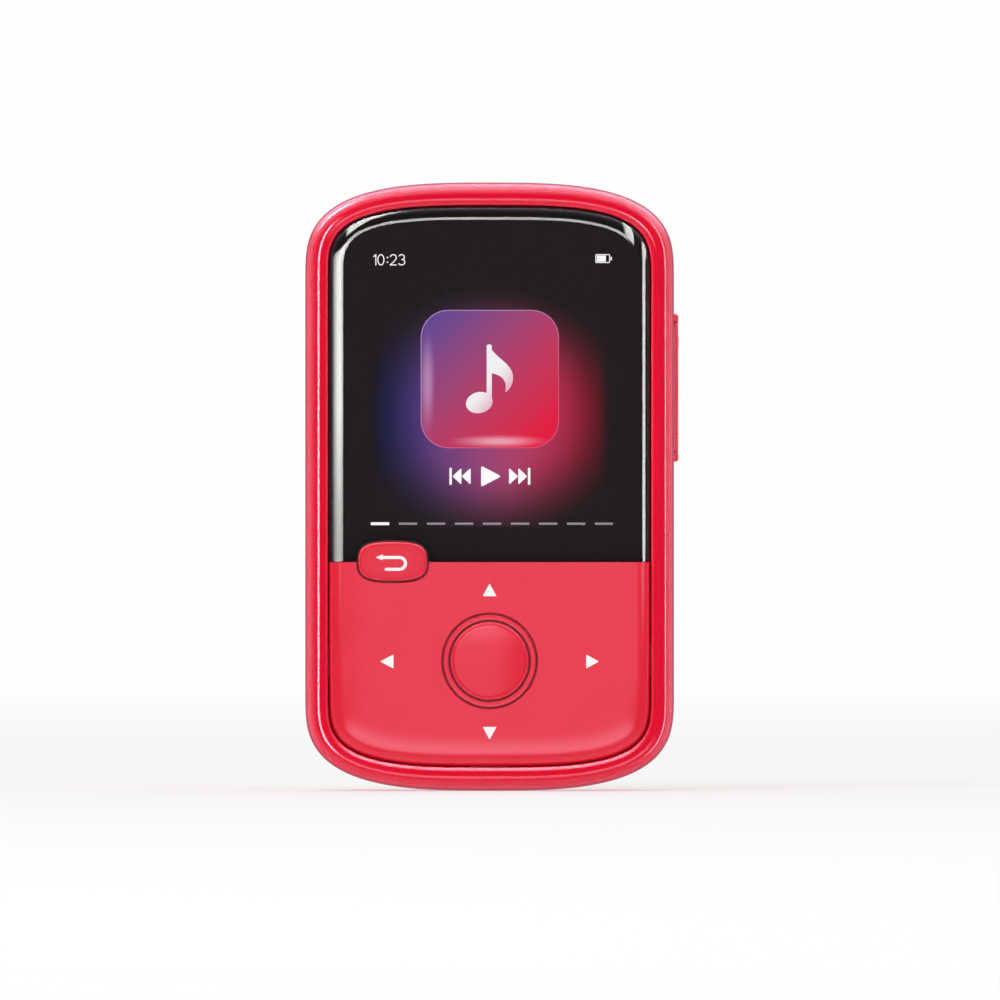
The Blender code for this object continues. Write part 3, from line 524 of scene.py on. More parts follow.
def soft_box(x0, x1, y0, y1, z0, z1, radius, segments, along=None):
    """A box with rounded edges; with along, only the edges that run along that axis."""
    solid = box(x0, x1, y0, y1, z0, z1)
    edges = [edge for edge in solid.edges
             if along is None or abs((edge.verts[0].co - edge.verts[1].co)[along]) > 1e-6]
    bmesh.ops.bevel(solid, geom=edges, offset=radius, segments=segments, profile=0.5,
                    affect="EDGES")
    large = [face for face in solid.faces if max(abs(c) for c in face.normal) > 0.9999]
    spare = min(x1 - x0, y1 - y0, z1 - z0) - 2 * radius
    margin = min(0.06, 0.12 * spare) if spare > 0 else 0.0
    if margin > 0.004:                               # a narrow border keeps the flats flat
        bmesh.ops.inset_individual(solid, faces=large, thickness=margin, use_even_offset=True)
    return solid


TURN = {"x": Matrix.Rotation(math.radians(90), 4, "Y"),
        "y": Matrix.Rotation(math.radians(-90), 4, "X")}


def rod(axis, centre, radius, start, end, segments):
    solid = bmesh.new()
    middle = (start + end) / 2
    place = (middle, *centre) if axis == "x" else (centre[0], middle, centre[1])
    bmesh.ops.create_cone(solid, cap_ends=True, cap_tris=False, segments=segments,
                          radius1=radius, radius2=radius, depth=end - start,
                          matrix=Matrix.Translation(place) @ TURN[axis])
    return solid


def turned(profile, centre, segments, axis="y", closed=False):
    """A turned solid about an axis through centre. profile: (radius, place along the axis)."""
    rings = []
    for radius, place in profile:
        ring = []
        for i in range(segments):
            u = centre[0] + radius * math.cos(2 * math.pi * i / segments)
            v = centre[1] + radius * math.sin(2 * math.pi * i / segments)
            ring.append(Vector((u, place, v) if axis == "y" else (place, u, v)))
        rings.append(ring)
    return skin(rings, closed=closed)


def prism(points, y0, y1, solid=None):
    """A flat shape in x and z, given thickness from y0 to y1."""
    solid = solid or bmesh.new()
    near = [solid.verts.new((x, y0, z)) for x, z in points]
    far = [solid.verts.new((x, y1, z)) for x, z in points]
    solid.faces.new(near)
    solid.faces.new(list(reversed(far)))
    for i in range(len(points)):
        j = (i + 1) % len(points)
        solid.faces.new((near[i], far[i], far[j], near[j]))
    return solid


def stroke(path, width, y0, y1, round_end=True, solid=None):
    """A line of even width along a path in x and z, as a thin solid."""
    left, right = [], []
    for i, (x, z) in enumerate(path):
        after = Vector(path[min(i + 1, len(path) - 1)])
        along = (after - Vector(path[max(i - 1, 0)])).normalized()
        side = Vector((-along.y, along.x)) * width / 2
        left.append((x + side.x, z + side.y))
        right.append((x - side.x, z - side.y))
    if round_end:
        heading = math.degrees(math.atan2(along.y, along.x))
        left += arc(Vector(path[-1]), (width / 2, width / 2),
                    [heading + 90 - 22.5 * k for k in range(1, 8)])
    return prism(left + right[::-1], y0, y1, solid)


# ================================================================ objects
ADD, CUT, KEEP = "UNION", "DIFFERENCE", "INTERSECT"


def link(name, data):
    obj = bpy.data.objects.new(name, data)
    bpy.context.scene.collection.objects.link(obj)
    return obj


def to_mesh(name, solid, merge):
    """Cleans a solid and turns it into a mesh in metres."""
    bmesh.ops.remove_doubles(solid, verts=solid.verts, dist=merge)
    bmesh.ops.recalc_face_normals(solid, faces=solid.faces)
    solid.transform(Matrix.Scale(MM, 4))
    mesh = bpy.data.meshes.new(name)
    solid.to_mesh(mesh)
    solid.free()
    return mesh


def evaluated_mesh(obj):
    bpy.context.view_layer.update()
    graph = bpy.context.evaluated_depsgraph_get()
    return bpy.data.meshes.new_from_object(obj.evaluated_get(graph), depsgraph=graph)


def bake(obj):
    """Applies the modifiers."""
    mesh, old = evaluated_mesh(obj), obj.data
    obj.modifiers.clear()
    obj.data = mesh
    mesh.name = obj.name
    bpy.data.meshes.remove(old)


def shade(obj, smooth):
    """Smooth shading up to an edge angle in degrees."""
    obj.data.shade_smooth()
    obj.data.set_sharp_from_angle(angle=math.radians(smooth))


def carve(obj, jobs, wall):
    """Runs Booleans. jobs: (operation, solid). wall: the material slot of the faces they leave."""
    tools = []
    for k, (operation, solid) in enumerate(jobs):
        mesh = to_mesh("tool", solid, merge=1e-6)
        for material in obj.data.materials:
            mesh.materials.append(material)
        for face in mesh.polygons:
            face.material_index = wall
        tools.append(link("tool", mesh))
        boolean = obj.modifiers.new(f"b{k}", "BOOLEAN")
        boolean.operation, boolean.solver, boolean.object = operation, "EXACT", tools[-1]
    bake(obj)
    for tool in tools:
        bpy.data.objects.remove(tool, do_unlink=True)
    solid = bmesh.new()
    solid.from_mesh(obj.data)
    bmesh.ops.remove_doubles(solid, verts=solid.verts, dist=2e-6)
    bmesh.ops.dissolve_degenerate(solid, edges=solid.edges, dist=1e-6)
    solid.to_mesh(obj.data)
    solid.free()


def round_edges(obj, width, segments, limit):
    """Rounds the edges sharper than limit, in degrees."""
    bevel = obj.modifiers.new("round", "BEVEL")
    bevel.width, bevel.segments, bevel.limit_method = width * MM, segments, "ANGLE"
    bevel.angle_limit = math.radians(limit)
    bevel.use_clamp_overlap = True
    bevel.harden_normals = False
    bevel.miter_outer = "MITER_ARC"
    bake(obj)


def build(name, solid, materials, jobs=(), smooth=32.0, wall=0, edge=0.0, segments=3, limit=38.0):
    """A finished object. A piece with rounded edges also gets weighted normals."""
    obj = link(name, to_mesh(name, solid, merge=1e-5))
    for material in materials:
        obj.data.materials.append(material)
    if jobs:
        carve(obj, jobs, wall)
    if edge:
        round_edges(obj, edge, segments, limit)
    shade(obj, smooth)
    if edge:
        weighted = obj.modifiers.new("weighted", "WEIGHTED_NORMAL")
        weighted.keep_sharp = True
        weighted.weight = 80
        weighted.mode = "FACE_AREA"
    return obj


def piece(name, solid, body, slot, *nodes, materials=None, **options):
    """An object that rides on a body and stands in for the named CAD nodes."""
    obj = build(name, solid, materials or [FINISH[slot]], **options)
    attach(obj, body)
    if nodes:
        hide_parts(*nodes)
    return obj


# ================================================================ front bezel
def bezel_profile():
    """(inset, depth): up the rounded side, over the crest and down inside the opening."""
    reach, start = 1.65, -5.9
    points = [(0.35, Y_PART_FRONT), (0.10, Y_PART_FRONT), (0.03, Y_PART_FRONT - 0.03),
              (0.0, Y_PART_FRONT - 0.11)]
    for angle in even_angles(30):
        points.append((reach * (1 - max(math.cos(angle), 0.0) ** 0.95),
                       start + (Y_CREST - start) * math.sin(angle) ** 0.95))
    for angle in even_angles(14)[1:]:
        points.append((reach + (IN_OPEN - reach) * math.sin(angle),
                       Y_CREST + 0.45 * (1 - math.cos(angle))))
    return points + [(IN_OPEN, -7.35), (IN_OPEN, Y_LIP), (WALL, Y_LIP), (WALL, Y_PART_FRONT)]


jobs = []
for side, z in BOSSES:
    boss = (side * BOSS_X, z)
    jobs += [(ADD, rod("y", boss, BOSS_R, -6.0, 1.75, 32)),
             (ADD, box(*span(side, BOSS_X + 0.4, 18.9), -5.95, -5.15, *around(z, 0.5))),
             (CUT, rod("y", boss, SCREW_HOLE_R, -4.2, 2.5, 24))]
bezel = piece("bezel_shell", skin([front_outline(d, y) for d, y in bezel_profile()], closed=True),
              "case", "red_shell", "front_bezel", jobs=jobs)

# ================================================================ lens
RIM_START, RIM_TURN = 4.16, 2.96     # insets where the flat ends and where the tight turn begins


def rim_slope(inset):
    """Slope in degrees: rising evenly from the flat, then a tight turn down the side."""
    even = 19.5 * clamp01((RIM_START - inset) / (RIM_START - RIM_TURN))
    return even + 62.0 * clamp01((RIM_TURN - inset) / (RIM_TURN - IN_PLATE)) ** 1.4


def rim_profile(extra=lambda inset: 0.0):
    """(inset, depth) pairs from the flat to the edge. extra adds to the slope, in degrees."""
    insets = [RIM_START - (RIM_START - RIM_TURN) * i / 26 for i in range(27)]
    insets += [RIM_TURN - (RIM_TURN - IN_PLATE) * i / 10 for i in range(1, 11)]
    points, y = [(insets[0], Y_FACE)], Y_FACE
    for one, two in zip(insets, insets[1:]):
        middle = (one + two) / 2
        y += math.tan(math.radians(rim_slope(middle) + extra(middle))) * (one - two)
        points.append((two, y))
    return points


def back_key_ring(grow, y):
    return pill(BACK_KEY_HALF[0] + grow, BACK_KEY_HALF[1] + grow + 0.02, BACK_KEY, y)


def back_key_opening():
    """The back key's hole through lens and plate, flared at the front."""
    return skin([back_key_ring(grow, y)
                 for grow, y in ((0.27, -9.0), (0.27, -8.22), (0.17, -8.02), (0.17, -5.0))])


RIM = rim_profile()
flat_section = [(5.2, Y_FACE), (4.6, Y_FACE), (4.3, Y_FACE), (4.2, Y_FACE)]
flange_section = [(IN_PLATE, Y_LIP + 0.05), (IN_FLANGE, Y_LIP + 0.05), (IN_FLANGE, -6.35),
                  (3.6, -6.35), (3.6, Y_PLATE_BACK)]
front_section = flat_section + RIM
# the front is clear; the side, the flange and the cut walls are printed black
lens = piece("lens_window",
             skin([front_outline(d, y) for d, y in front_section + flange_section],
                  bands=[0] * (len(front_section) - 1) + [1] * len(flange_section)),
             "case", "lens_black", "display_lens",
             materials=[LENS_CLEAR, FINISH["lens_black"]], smooth=28.0, wall=1,
             jobs=[(CUT, box(-30, 30, -12, 0, -5, Z_SEAM + SEAM_HALF)),
                   (CUT, back_key_opening())])

piece("lens_mask", skin([front_outline(3.61, y) for y in (-6.895, -6.865)]),
      "case", "lens_black",
      jobs=[(CUT, box(-30, 30, -12, 0, -5, Z_SEAM + 0.06)),
            (CUT, skin([back_key_ring(0.21, y) for y in (-9.0, -5.0)])),
            (CUT, box(-ACTIVE_HALF_W + 0.03, ACTIVE_HALF_W - 0.03, -9, -5,
                      ACTIVE_Z[0] + 0.03, ACTIVE_Z[1] - 0.03))])

# ================================================================ direction plate
APRON_START, APRON_END = 7.0, 3.55   # insets


def apron_slope(inset):
    """The plate falls away at its foot in a wide soft apron: its slope in degrees."""
    return 8.0 * clamp01((APRON_START - inset) / (APRON_START - APRON_END)) ** 1.5


def plate_loop(inset, y_side, y_foot):
    """A loop of the plate: y_side along the sides, y_foot round the foot, blending between."""
    def depth(z):
        share = clamp01((16.0 - z) / 10.5)
        return y_side + (y_foot - y_side) * share * share * (3 - 2 * share)
    return front_outline(inset, depth)


def plate_rings():
    insets = [8.4, 8.0, 7.6, 7.25] + [APRON_START - 0.18 * i for i in range(16)]
    rings, y_foot = [], Y_FACE
    for one, two in zip([9.0] + insets, insets):
        y_foot += math.tan(math.radians(apron_slope((one + two) / 2))) * (one - two)
        rings.append(plate_loop(two, Y_FACE, y_foot))
    joining_slope = math.tan(math.radians(apron_slope(4.25)))
    shift = y_foot - Y_FACE + joining_slope * (insets[-1] - RIM_START)
    for (inset, y), (_, y_low) in zip(RIM, rim_profile(apron_slope)):
        rings.append(plate_loop(inset, y, y_low + shift))
    return rings + [front_outline(IN_PLATE, Y_PLATE_BACK)]


reach_x, reach_z = PLUNGER_REACH
plungers = [(PAD[0], PAD[1] + reach_z), (PAD[0], PAD[1] - reach_z),
            (PAD[0] - reach_x, PAD[1]), (PAD[0] + reach_x, PAD[1])]
# tabs behind the plate's edges: x0, x1, z0, z1 of the post, then of the foot on its end
PLATE_TABS = [
    ((-17.1, -16.4, 12.1, 16.1), (-17.85, -16.4, 12.25, 15.95)),
    ((16.4, 17.1, 12.1, 16.1), (16.4, 17.85, 12.25, 15.95)),
    ((-2.0, 2.0, 2.95, 3.65), (-2.0, 2.0, 2.35, 3.5)),
]
# the collar's hole, flared at the front: radius, depth
PAD_HOLE = [(PAD_HOLE_R + 0.12, -9.0), (PAD_HOLE_R + 0.12, -8.17), (PAD_HOLE_R + 0.05, -8.10),
            (PAD_HOLE_R, -8.0), (PAD_HOLE_R, -6.0)]

jobs = [(ADD, rod("y", place, 0.9, -7.4, Y_PLUNGER, 28)) for place in plungers]
for post, foot in PLATE_TABS:
    jobs += [(ADD, box(*post[:2], -7.3, -5.8, *post[2:])),
             (ADD, box(*foot[:2], -6.25, -5.82, *foot[2:]))]
jobs += [(CUT, box(-30, 30, -12, 0, Z_SEAM - SEAM_HALF, 80)),
         (CUT, back_key_opening()),
         (CUT, turned(PAD_HOLE, PAD, 112))]
plate = piece("pad_plate", skin(plate_rings()), "pad_rocker", "red_face", "dpad_plate",
              jobs=jobs, smooth=28.0)

# white printed arrow marks: place of the tip and of the base along the arrow
ARROW_HALF, ARROW_Z = 0.76, 14.04    # ARROW_Z: height of the left and right arrows
for key, tip, base in (("up", 22.5, 21.12), ("down", 5.58, 6.95),
                       ("left", -11.87, -10.42), ("right", 11.87, 10.47)):
    corners = [(0.0, tip), (-ARROW_HALF, base), (ARROW_HALF, base)]
    if key in ("left", "right"):
        corners = [(along, ARROW_Z + across) for across, along in corners]
    piece("pad_mark_" + key, prism(rounded_polygon(corners, 0.07), Y_FACE - 0.014, Y_FACE + 0.05),
          "pad_rocker", "red_face", materials=[INK_WHITE])

# ================================================================ select key and its collar
CROWN_R, CROWN_Y = 3.6, -8.285       # the gently domed part of the key
profile = [(0.02, CROWN_Y)]
profile += [(0.3 * k, CROWN_Y + 0.105 * (0.3 * k / CROWN_R) ** 2.2) for k in range(1, 13)]
profile += arc((CROWN_R, -7.86), (SELECT_R - CROWN_R, 0.32), range(-81, 1, 9))
profile += [(SELECT_R, -5.72), (5.15, -5.72), (5.15, -5.35), (1.0, -5.35), (1.0, Y_PLUNGER)]
select = piece("select_key_cap", turned(profile, PAD, 112),
               "select_key", "red_key", "select_button", smooth=30.0)

profile = [(COLLAR_IN, -7.6)]
profile += arc((COLLAR_IN + 0.14, -7.93), (0.14, 0.13), range(180, 271, 15))
profile += arc((COLLAR_OUT - 0.14, -7.93), (0.14, 0.13), range(-90, 1, 15))
profile += [(COLLAR_OUT, -6.2), (6.2, -6.2), (6.2, -4.36), (5.45, -4.36), (5.45, -5.8),
            (COLLAR_IN, -5.8)]
collar = piece("pad_collar_ring", turned(profile, PAD, 112, closed=True),
               "case", "red_face", "dpad_collar", smooth=30.0)

# ================================================================ back key
half_x, half_z = BACK_KEY_HALF
# (share of full size, depth): a soft pillow, then a rolled edge
profile = [(0.12 + 0.68 * k / 8, -8.40 + 0.055 * (k / 8) ** 2.2) for k in range(9)]
profile += arc((0.80, -8.065), (0.20, 0.28), [11.25 * k - 90 for k in range(1, 9)])
rings = []
for share, y in profile:
    inset = (1 - share) * 2.1
    rings.append(pill(half_x - inset, max(half_z - inset, 0.05), BACK_KEY, y, 2.6 + 0.5 * share))
rings.append(pill(half_x, half_z, BACK_KEY, -6.12, 3.1))
rings += [pill(half_x + 0.5, half_z + 0.3, BACK_KEY, y) for y in (-6.12, -5.7)]
back_key = piece("back_key_cap", skin(rings), "back_key", "red_key", "back_button",
                 jobs=[(ADD, rod("y", BACK_KEY, 0.9, -5.9, Y_PLUNGER, 28))], smooth=30.0)

# the printed return arrow: (x, z) from the key's centre
MARK_Y = (-8.425, -8.30)
path = [(-1.25, 0.42), (-0.6, 0.42), (0.0, 0.42), (0.74, 0.42)]
path += arc((0.74, -0.22), (0.64, 0.64), range(78, -91, -12))
path += [(0.2, -0.86), (-0.3, -0.86), (-0.7, -0.86)]
head = [(-1.86, 0.42), (-1.08, 0.12), (-1.08, 0.76)]
path, head = [[(BACK_KEY[0] + x, BACK_KEY[1] + z) for x, z in points] for points in (path, head)]
piece("back_mark", stroke(path, 0.33, *MARK_Y), "back_key", "red_key", materials=[INK_WHITE],
      jobs=[(ADD, prism(rounded_polygon(head, 0.05), *MARK_Y))], smooth=30.0)


# ================================================================ rear housing
def rear_profile():
    """(inset, depth): from the back round the edge to the parting line, then inside."""
    radius = 2.4
    points = [(radius + 3.0, Y_BACK), (radius + 1.0, Y_BACK)]
    points += arc((radius, Y_BACK - radius), (radius, radius), [90 + 4.5 * i for i in range(21)])
    return points + [
        (0.0, -1.0), (0.0, -3.0), (0.0, Y_PART_REAR + 0.11), (0.03, Y_PART_REAR + 0.03),
        (0.10, Y_PART_REAR), (0.35, Y_PART_REAR), (WALL, Y_PART_REAR), (WALL, 0.9),
        (2.5, Y_FLOOR)]


def side_slot(skin_x, half_y, half_z, y, z, radius, lip=0.16):
    """A rounded slot cut through a side wall at skin_x, its mouth softened by a small radius."""
    side = 1 if skin_x > 0 else -1

    def ring(x, grow):
        points = rounded_rect(half_y + grow, half_z + grow, radius + grow, (y, z), 8)
        return [Vector((x, *point)) for point in points]
    rings = [ring(side * 17.0, 0.0)]
    for k in range(6):
        angle = math.radians(90 * k / 5)
        rings.append(ring(skin_x - side * lip * (1 - math.sin(angle)),
                          lip * (1 - math.cos(angle))))
    return skin(rings + [ring(skin_x + side * 0.002, lip), ring(side * 22.0, lip + 0.4)])


def knuckle(side, near, far, y0, y1):
    """A hinge barrel and the web that joins it to its part."""
    x0, x1 = span(side, near, far)
    return [(ADD, rod("x", HINGE, KNUCKLE_R, x0, x1, 56)),
            (ADD, box(x0 + 0.01, x1 - 0.01, y0, y1, *around(HINGE_Z, KNUCKLE_R)))]


jobs = [(ADD, soft_box(19.0, ROCKER_OUT + 0.02, *around(ROCKER_Y, 2.0), *around(ROCKER_Z, 8.05),
                       0.38, 6))]
for side in (-1, 1):
    jobs += knuckle(side, 7.6, 9.6, 2.6, HINGE_Y)
jack_hole = [(2.12, 17.0), (2.12, 19.80)]
jack_hole += arc((2.32, 19.80), (0.2, 0.2), (158, 135, 113, 90)) + [(2.7, 22.0)]
jobs += [
    (CUT, rod("x", HINGE, PIN_HOLE_R, -12, 12, 40)),
    (CUT, side_slot(ROCKER_OUT + 0.02, 1.36, 7.24, ROCKER_Y, ROCKER_Z, 0.46, lip=0.14)),
    (CUT, soft_box(19.85, 22.0, ROCKER_Y - 2.6, ROCKER_Y - 0.9, *around(ROCKER_Z, 7.26),
                   0.10, 3)),
    (CUT, soft_box(*around(POWER_X, 3.14), *around(POWER_Y, 1.34), 62.5, 68.0,
                   1.19, 10, along=2)),
    (CUT, turned(jack_hole, JACK, 64, axis="x")),
    (CUT, side_slot(-HALF_WIDTH, 1.42, 3.96, USB_Y, USB_Z, 0.7)),
    (CUT, side_slot(-HALF_WIDTH, 0.62, 5.85, CARD_Y, CARD_Z, 0.35, lip=0.14)),
]
# recess for a screw head: radius, depth
HEAD_RECESS = [(1.35, 2.45), (1.35, 3.06), (1.40, 3.14), (1.50, 3.203), (1.56, 4.2)]
for side, z in BOSSES:
    boss = (side * BOSS_X, z)
    jobs += [(CUT, rod("y", boss, SCREW_HOLE_R, 0.5, 4.0, 32)),
             (CUT, turned(HEAD_RECESS, boss, 56))]
housing = piece("rear_case_shell", skin([outline(d, y) for d, y in rear_profile()]),
                "case", "red_shell", "rear_housing", jobs=jobs, smooth=30.0)

# the tongue that closes the parting line from inside, standing in both shells
TONGUE = [(0.62, -5.42), (1.32, -5.42), (1.32, -4.55), (0.62, -4.55)]    # inset, depth
piece("seam_tongue", skin([outline(d, y) for d, y in TONGUE], closed=True), "case", "red_shell")

# ================================================================ volume rocker
jobs = [(ADD, box(17.75, 18.18, *around(ROCKER_Y, 1.9), *around(ROCKER_Z, 6.6))),
        (ADD, box(17.95, 18.9, *around(ROCKER_Y, 1.1), *around(ROCKER_Z, 6.3)))]
for side in (-1, 1):
    jobs.append((ADD, box(17.45, 17.9, *around(ROCKER_Y, 0.6),
                          *around(ROCKER_Z + side * ROCKER_PRESS, 0.6))))
# a shallow finger saddle across the middle, so that each end is felt
saddle = turned([(14.0, y) for y in around(ROCKER_Y, 2.0)], (ROCKER_OUT + 13.86, ROCKER_Z), 220)
jobs.append((CUT, saddle))
rocker = piece("volume_bar",
               soft_box(18.45, ROCKER_OUT, *around(ROCKER_Y, 1.22),
                        *around(ROCKER_Z, ROCKER_HALF), 0.42, 6),
               "volume_key", "red_key", "volume_rocker", jobs=jobs, smooth=30.0)


def volume_stroke(half_y, half_z, z):
    """A raised bar on the rocker's outer face."""
    return soft_box(ROCKER_OUT - 0.2, ROCKER_OUT + 0.045, *around(ROCKER_Y, half_y),
                    *around(z, half_z), 0.05, 3)


plus_z, minus_z = ROCKER_Z + ROCKER_PRESS, ROCKER_Z - ROCKER_PRESS
piece("volume_mark_plus", volume_stroke(0.55, 0.11, plus_z), "volume_key", "red_key",
      jobs=[(ADD, volume_stroke(0.11, 0.55, plus_z))], smooth=30.0)
piece("volume_mark_minus", volume_stroke(0.55, 0.11, minus_z), "volume_key", "red_key")

# ================================================================ power button
# the cap follows the case outline; a flange and a plunger stand inside
piece("power_key_cap",
      soft_box(*around(POWER_X, 3.0), *around(POWER_Y, 1.2), 63.5, 68.0, 1.1, 10, along=2),
      "power_key", "red_key", "power_button",
      jobs=[(KEEP, skin([outline(0.03, y) for y in (-4.0, 1.0)])),
            (ADD, box(*around(POWER_X, 3.4), *around(POWER_Y, 1.7), 63.2, 63.65)),
            (ADD, box(*around(POWER_X, 0.7), POWER_Y - 1.2, POWER_Y, 62.75, 63.4))],
      edge=0.09, smooth=30.0)


# ================================================================ clip
def clip_loop(inset, y):
    half_width, corner = CLIP_HALF_W - inset, CLIP_CORNER - inset
    quarter = super_quarter(half_width, corner, CLIP_POWER, even_angles(26))
    loop = tall_loop(quarter, half_width, CLIP_Z[1] - CLIP_CORNER, CLIP_Z[0] + CLIP_CORNER, 16)
    return [Vector((x, y, z)) for x, z in loop]


section = [(2.2, CLIP_Y[0]), (0.5, CLIP_Y[0])]       # inset, depth
section += arc((0.28, CLIP_Y[0] + 0.28), (0.28, 0.28), range(270, 179, -18))
section += arc((0.95, CLIP_Y[1] - 0.80), (0.95, 0.80), range(180, 89, -9))
section += [(1.3, CLIP_Y[1]), (2.4, CLIP_Y[1])]

# the toothed jaw at the clip's foot, seen from the side: y, z
JAW = [(6.9, 17.6), (5.4, 17.2), (4.1, 16.4), (3.42, 16.0), (3.95, 15.45), (3.42, 14.9),
       (3.95, 14.35), (3.9, 13.9), (5.2, 13.55), (6.9, 13.7)]
jaw = rounded_polygon(JAW, 0.10)

GROOVE_R, GROOVE_END = 0.62, 6.7     # thumb grooves with round ends
groove = [(0.02, -7.35)] + arc((0.0, -GROOVE_END), (GROOVE_R, GROOVE_R), (-65, -40, -15))
groove += [(GROOVE_R, -6.6), (GROOVE_R, 6.6)]
groove += arc((0.0, GROOVE_END), (GROOVE_R, GROOVE_R), (15, 40, 65)) + [(0.02, 7.35)]

jobs = []
for side in (-1, 1):
    jobs += knuckle(side, 10.0, 11.5, HINGE_Y, 7.0)
jobs += [(ADD, skin([[Vector((x, y, z)) for y, z in jaw] for x in (-9.5, 9.5)])),
         (CUT, rod("x", HINGE, PIN_HOLE_R, -13, 13, 40))]
for k in range(3):
    jobs.append((CUT, turned(groove, (CLIP_Y[1] + 0.38, 53.2 + 1.6 * k), 40, axis="x")))
piece("clip_tongue", skin([clip_loop(d, y) for d, y in section]), "clip_arm", "red_shell", "clip",
      materials=[FINISH["red_clip"]], jobs=jobs, edge=0.07, smooth=30.0, limit=30.0)

# hinge pin, chamfered at both ends: radius, x
profile = [(0.02, -11.42), (0.5, -11.42), (0.62, -11.36), (PIN_R, -11.22)]
profile += [(radius, -x) for radius, x in reversed(profile)]
piece("clip_axle", turned(profile, HINGE, 48, axis="x"), "case", "steel", "clip_pin")


# ================================================================ clip spring
SPRING_R, SPRING_HALF, SPRING_TURNS = 1.22, 2.5, 4


def spring_path():
    """A straight leg, the coil round the pin, and a second straight leg."""
    steps = SPRING_TURNS * 40
    points = [(-SPRING_HALF, HINGE_Y - SPRING_R, HINGE_Z + 5.2 - 0.43 * i) for i in range(11)]
    for i in range(steps + 1):
        angle = math.pi * (1 + (2 * SPRING_TURNS + 1) * i / steps)
        points.append((-SPRING_HALF + 2 * SPRING_HALF * i / steps,
                       HINGE_Y + SPRING_R * math.cos(angle),
                       HINGE_Z + SPRING_R * math.sin(angle)))
    points += [(SPRING_HALF, HINGE_Y + SPRING_R, HINGE_Z + 0.9 + 0.43 * i) for i in range(11)]
    return [Vector(point) for point in points]


def wire_mesh(path, radius):
    curve = bpy.data.curves.new("spring_wire", "CURVE")
    curve.dimensions = "3D"
    curve.bevel_depth = radius * MM
    curve.bevel_resolution = 4
    curve.use_fill_caps = True
    spline = curve.splines.new("POLY")
    spline.points.add(len(path) - 1)
    for point, place in zip(spline.points, path):
        point.co = (*(c * MM for c in place), 1.0)
    holder = link("spring_holder", curve)
    mesh = evaluated_mesh(holder)
    bpy.data.objects.remove(holder, do_unlink=True)
    solid = bmesh.new()
    solid.from_mesh(mesh)
    bmesh.ops.remove_doubles(solid, verts=solid.verts, dist=1e-6)
    bmesh.ops.recalc_face_normals(solid, faces=solid.faces)
    solid.to_mesh(mesh)
    solid.free()
    return mesh


spring = link("clip_torsion_spring", wire_mesh(spring_path(), 0.24))
shade(spring, 40.0)
spring.data.materials.append(FINISH["steel"])
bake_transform(spring)
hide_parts("clip_spring")

# ================================================================ screws
# radius, depth: domed head, threaded shank with alternating crest and root, point
SCREW = [(0.02, 3.14), (0.4, 3.135), (0.7, 3.11), (0.95, 3.05), (1.08, 2.96), (1.15, 2.82),
         (1.15, 2.52), (0.68, 2.52)]
for i in range(13):
    crest = 2.3 - 0.34 * i
    SCREW += [(0.68, crest), (0.56, crest - 0.17)]
SCREW += [(0.5, -2.2), (0.3, -2.5), (0.02, -2.5)]
for row, z in (("top", BOSS_Z[1]), ("bottom", BOSS_Z[0])):
    for column, side in (("left", -1), ("right", 1)):
        x = side * BOSS_X
        turn = Matrix.Rotation(math.radians(23 * (1 + side) + z), 4, "Y")
        jobs = []
        for slot_x, slot_z in ((0.62, 0.12), (0.12, 0.62)):
            slot = box(-slot_x, slot_x, 2.72, 3.6, -slot_z, slot_z)
            slot.transform(Matrix.Translation((x, 0, z)) @ turn)
            jobs.append((CUT, slot))
        tag = f"{row}_{column}"
        piece("case_screw_" + tag, turned(SCREW, (x, z), 56), "case", "dark_steel",
              "screw_" + tag, jobs=jobs, smooth=35.0)

# ================================================================ sockets
# profiles: radius, x
JACK_NOSE = [(1.98, 17.2), (1.98, 19.62), (1.92, 19.72), (1.8, 19.76)]
JACK_BORE = [(1.76, 7.0), (1.76, 19.60), (1.80, 19.70), (1.9, 19.80), (2.0, 22.0)]
JACK_SLEEVE = [(1.745, 12.0), (1.745, 18.6), (1.66, 18.6), (1.62, 18.5), (1.62, 12.0)]
piece("jack_body", soft_box(6.2, 17.5, -3.42, 1.6, *around(JACK[1], 3.0), 0.5, 4, along=0),
      "case", "moulded_black", "headphone_jack", smooth=30.0,
      jobs=[(ADD, turned(JACK_NOSE, JACK, 64, axis="x")),
            (CUT, turned(JACK_BORE, JACK, 64, axis="x"))])
piece("jack_contact_sleeve", turned(JACK_SLEEVE, JACK, 64, axis="x", closed=True),
      "case", "steel", materials=[SOCKET_LINING], smooth=30.0)

piece("usb_shell_can",
      soft_box(-19.6, -13.4, USB_Y - 1.25, USB_Y + 1.22, *around(USB_Z, 3.75), 0.55, 6, along=0),
      "case", "steel", "usb_shell", edge=0.05, segments=2, smooth=35.0,
      jobs=[(CUT, soft_box(-21.0, -14.0, USB_Y - 1.0, USB_Y + 0.97, *around(USB_Z, 3.5),
                           0.4, 6, along=0))])
piece("usb_tongue_blade",
      soft_box(-18.9, -14.15, USB_Y - 0.1, USB_Y + 0.35, *around(USB_Z, 2.2), 0.08, 3),
      "case", "moulded_black", "usb_tongue")
piece("usb_rear_wall",
      soft_box(-15.6, -13.9, USB_Y - 1.02, USB_Y + 0.99, *around(USB_Z, 3.52), 0.3, 4, along=0),
      "case", "moulded_black")
piece("card_socket_base",
      soft_box(-16.4, -4.3, CARD_Y - 0.40, CARD_Y + 0.44, *around(CARD_Z, 5.62), 0.1, 3, along=0),
      "case", "moulded_black")
for k in range(5):
    z = USB_Z + (k - 2) * 0.65
    piece(f"usb_contact_{k}",
          soft_box(-18.6, -14.3, USB_Y - 0.16, USB_Y - 0.08, *around(z, 0.14), 0.03, 2),
          "case", "steel", materials=[GOLD])

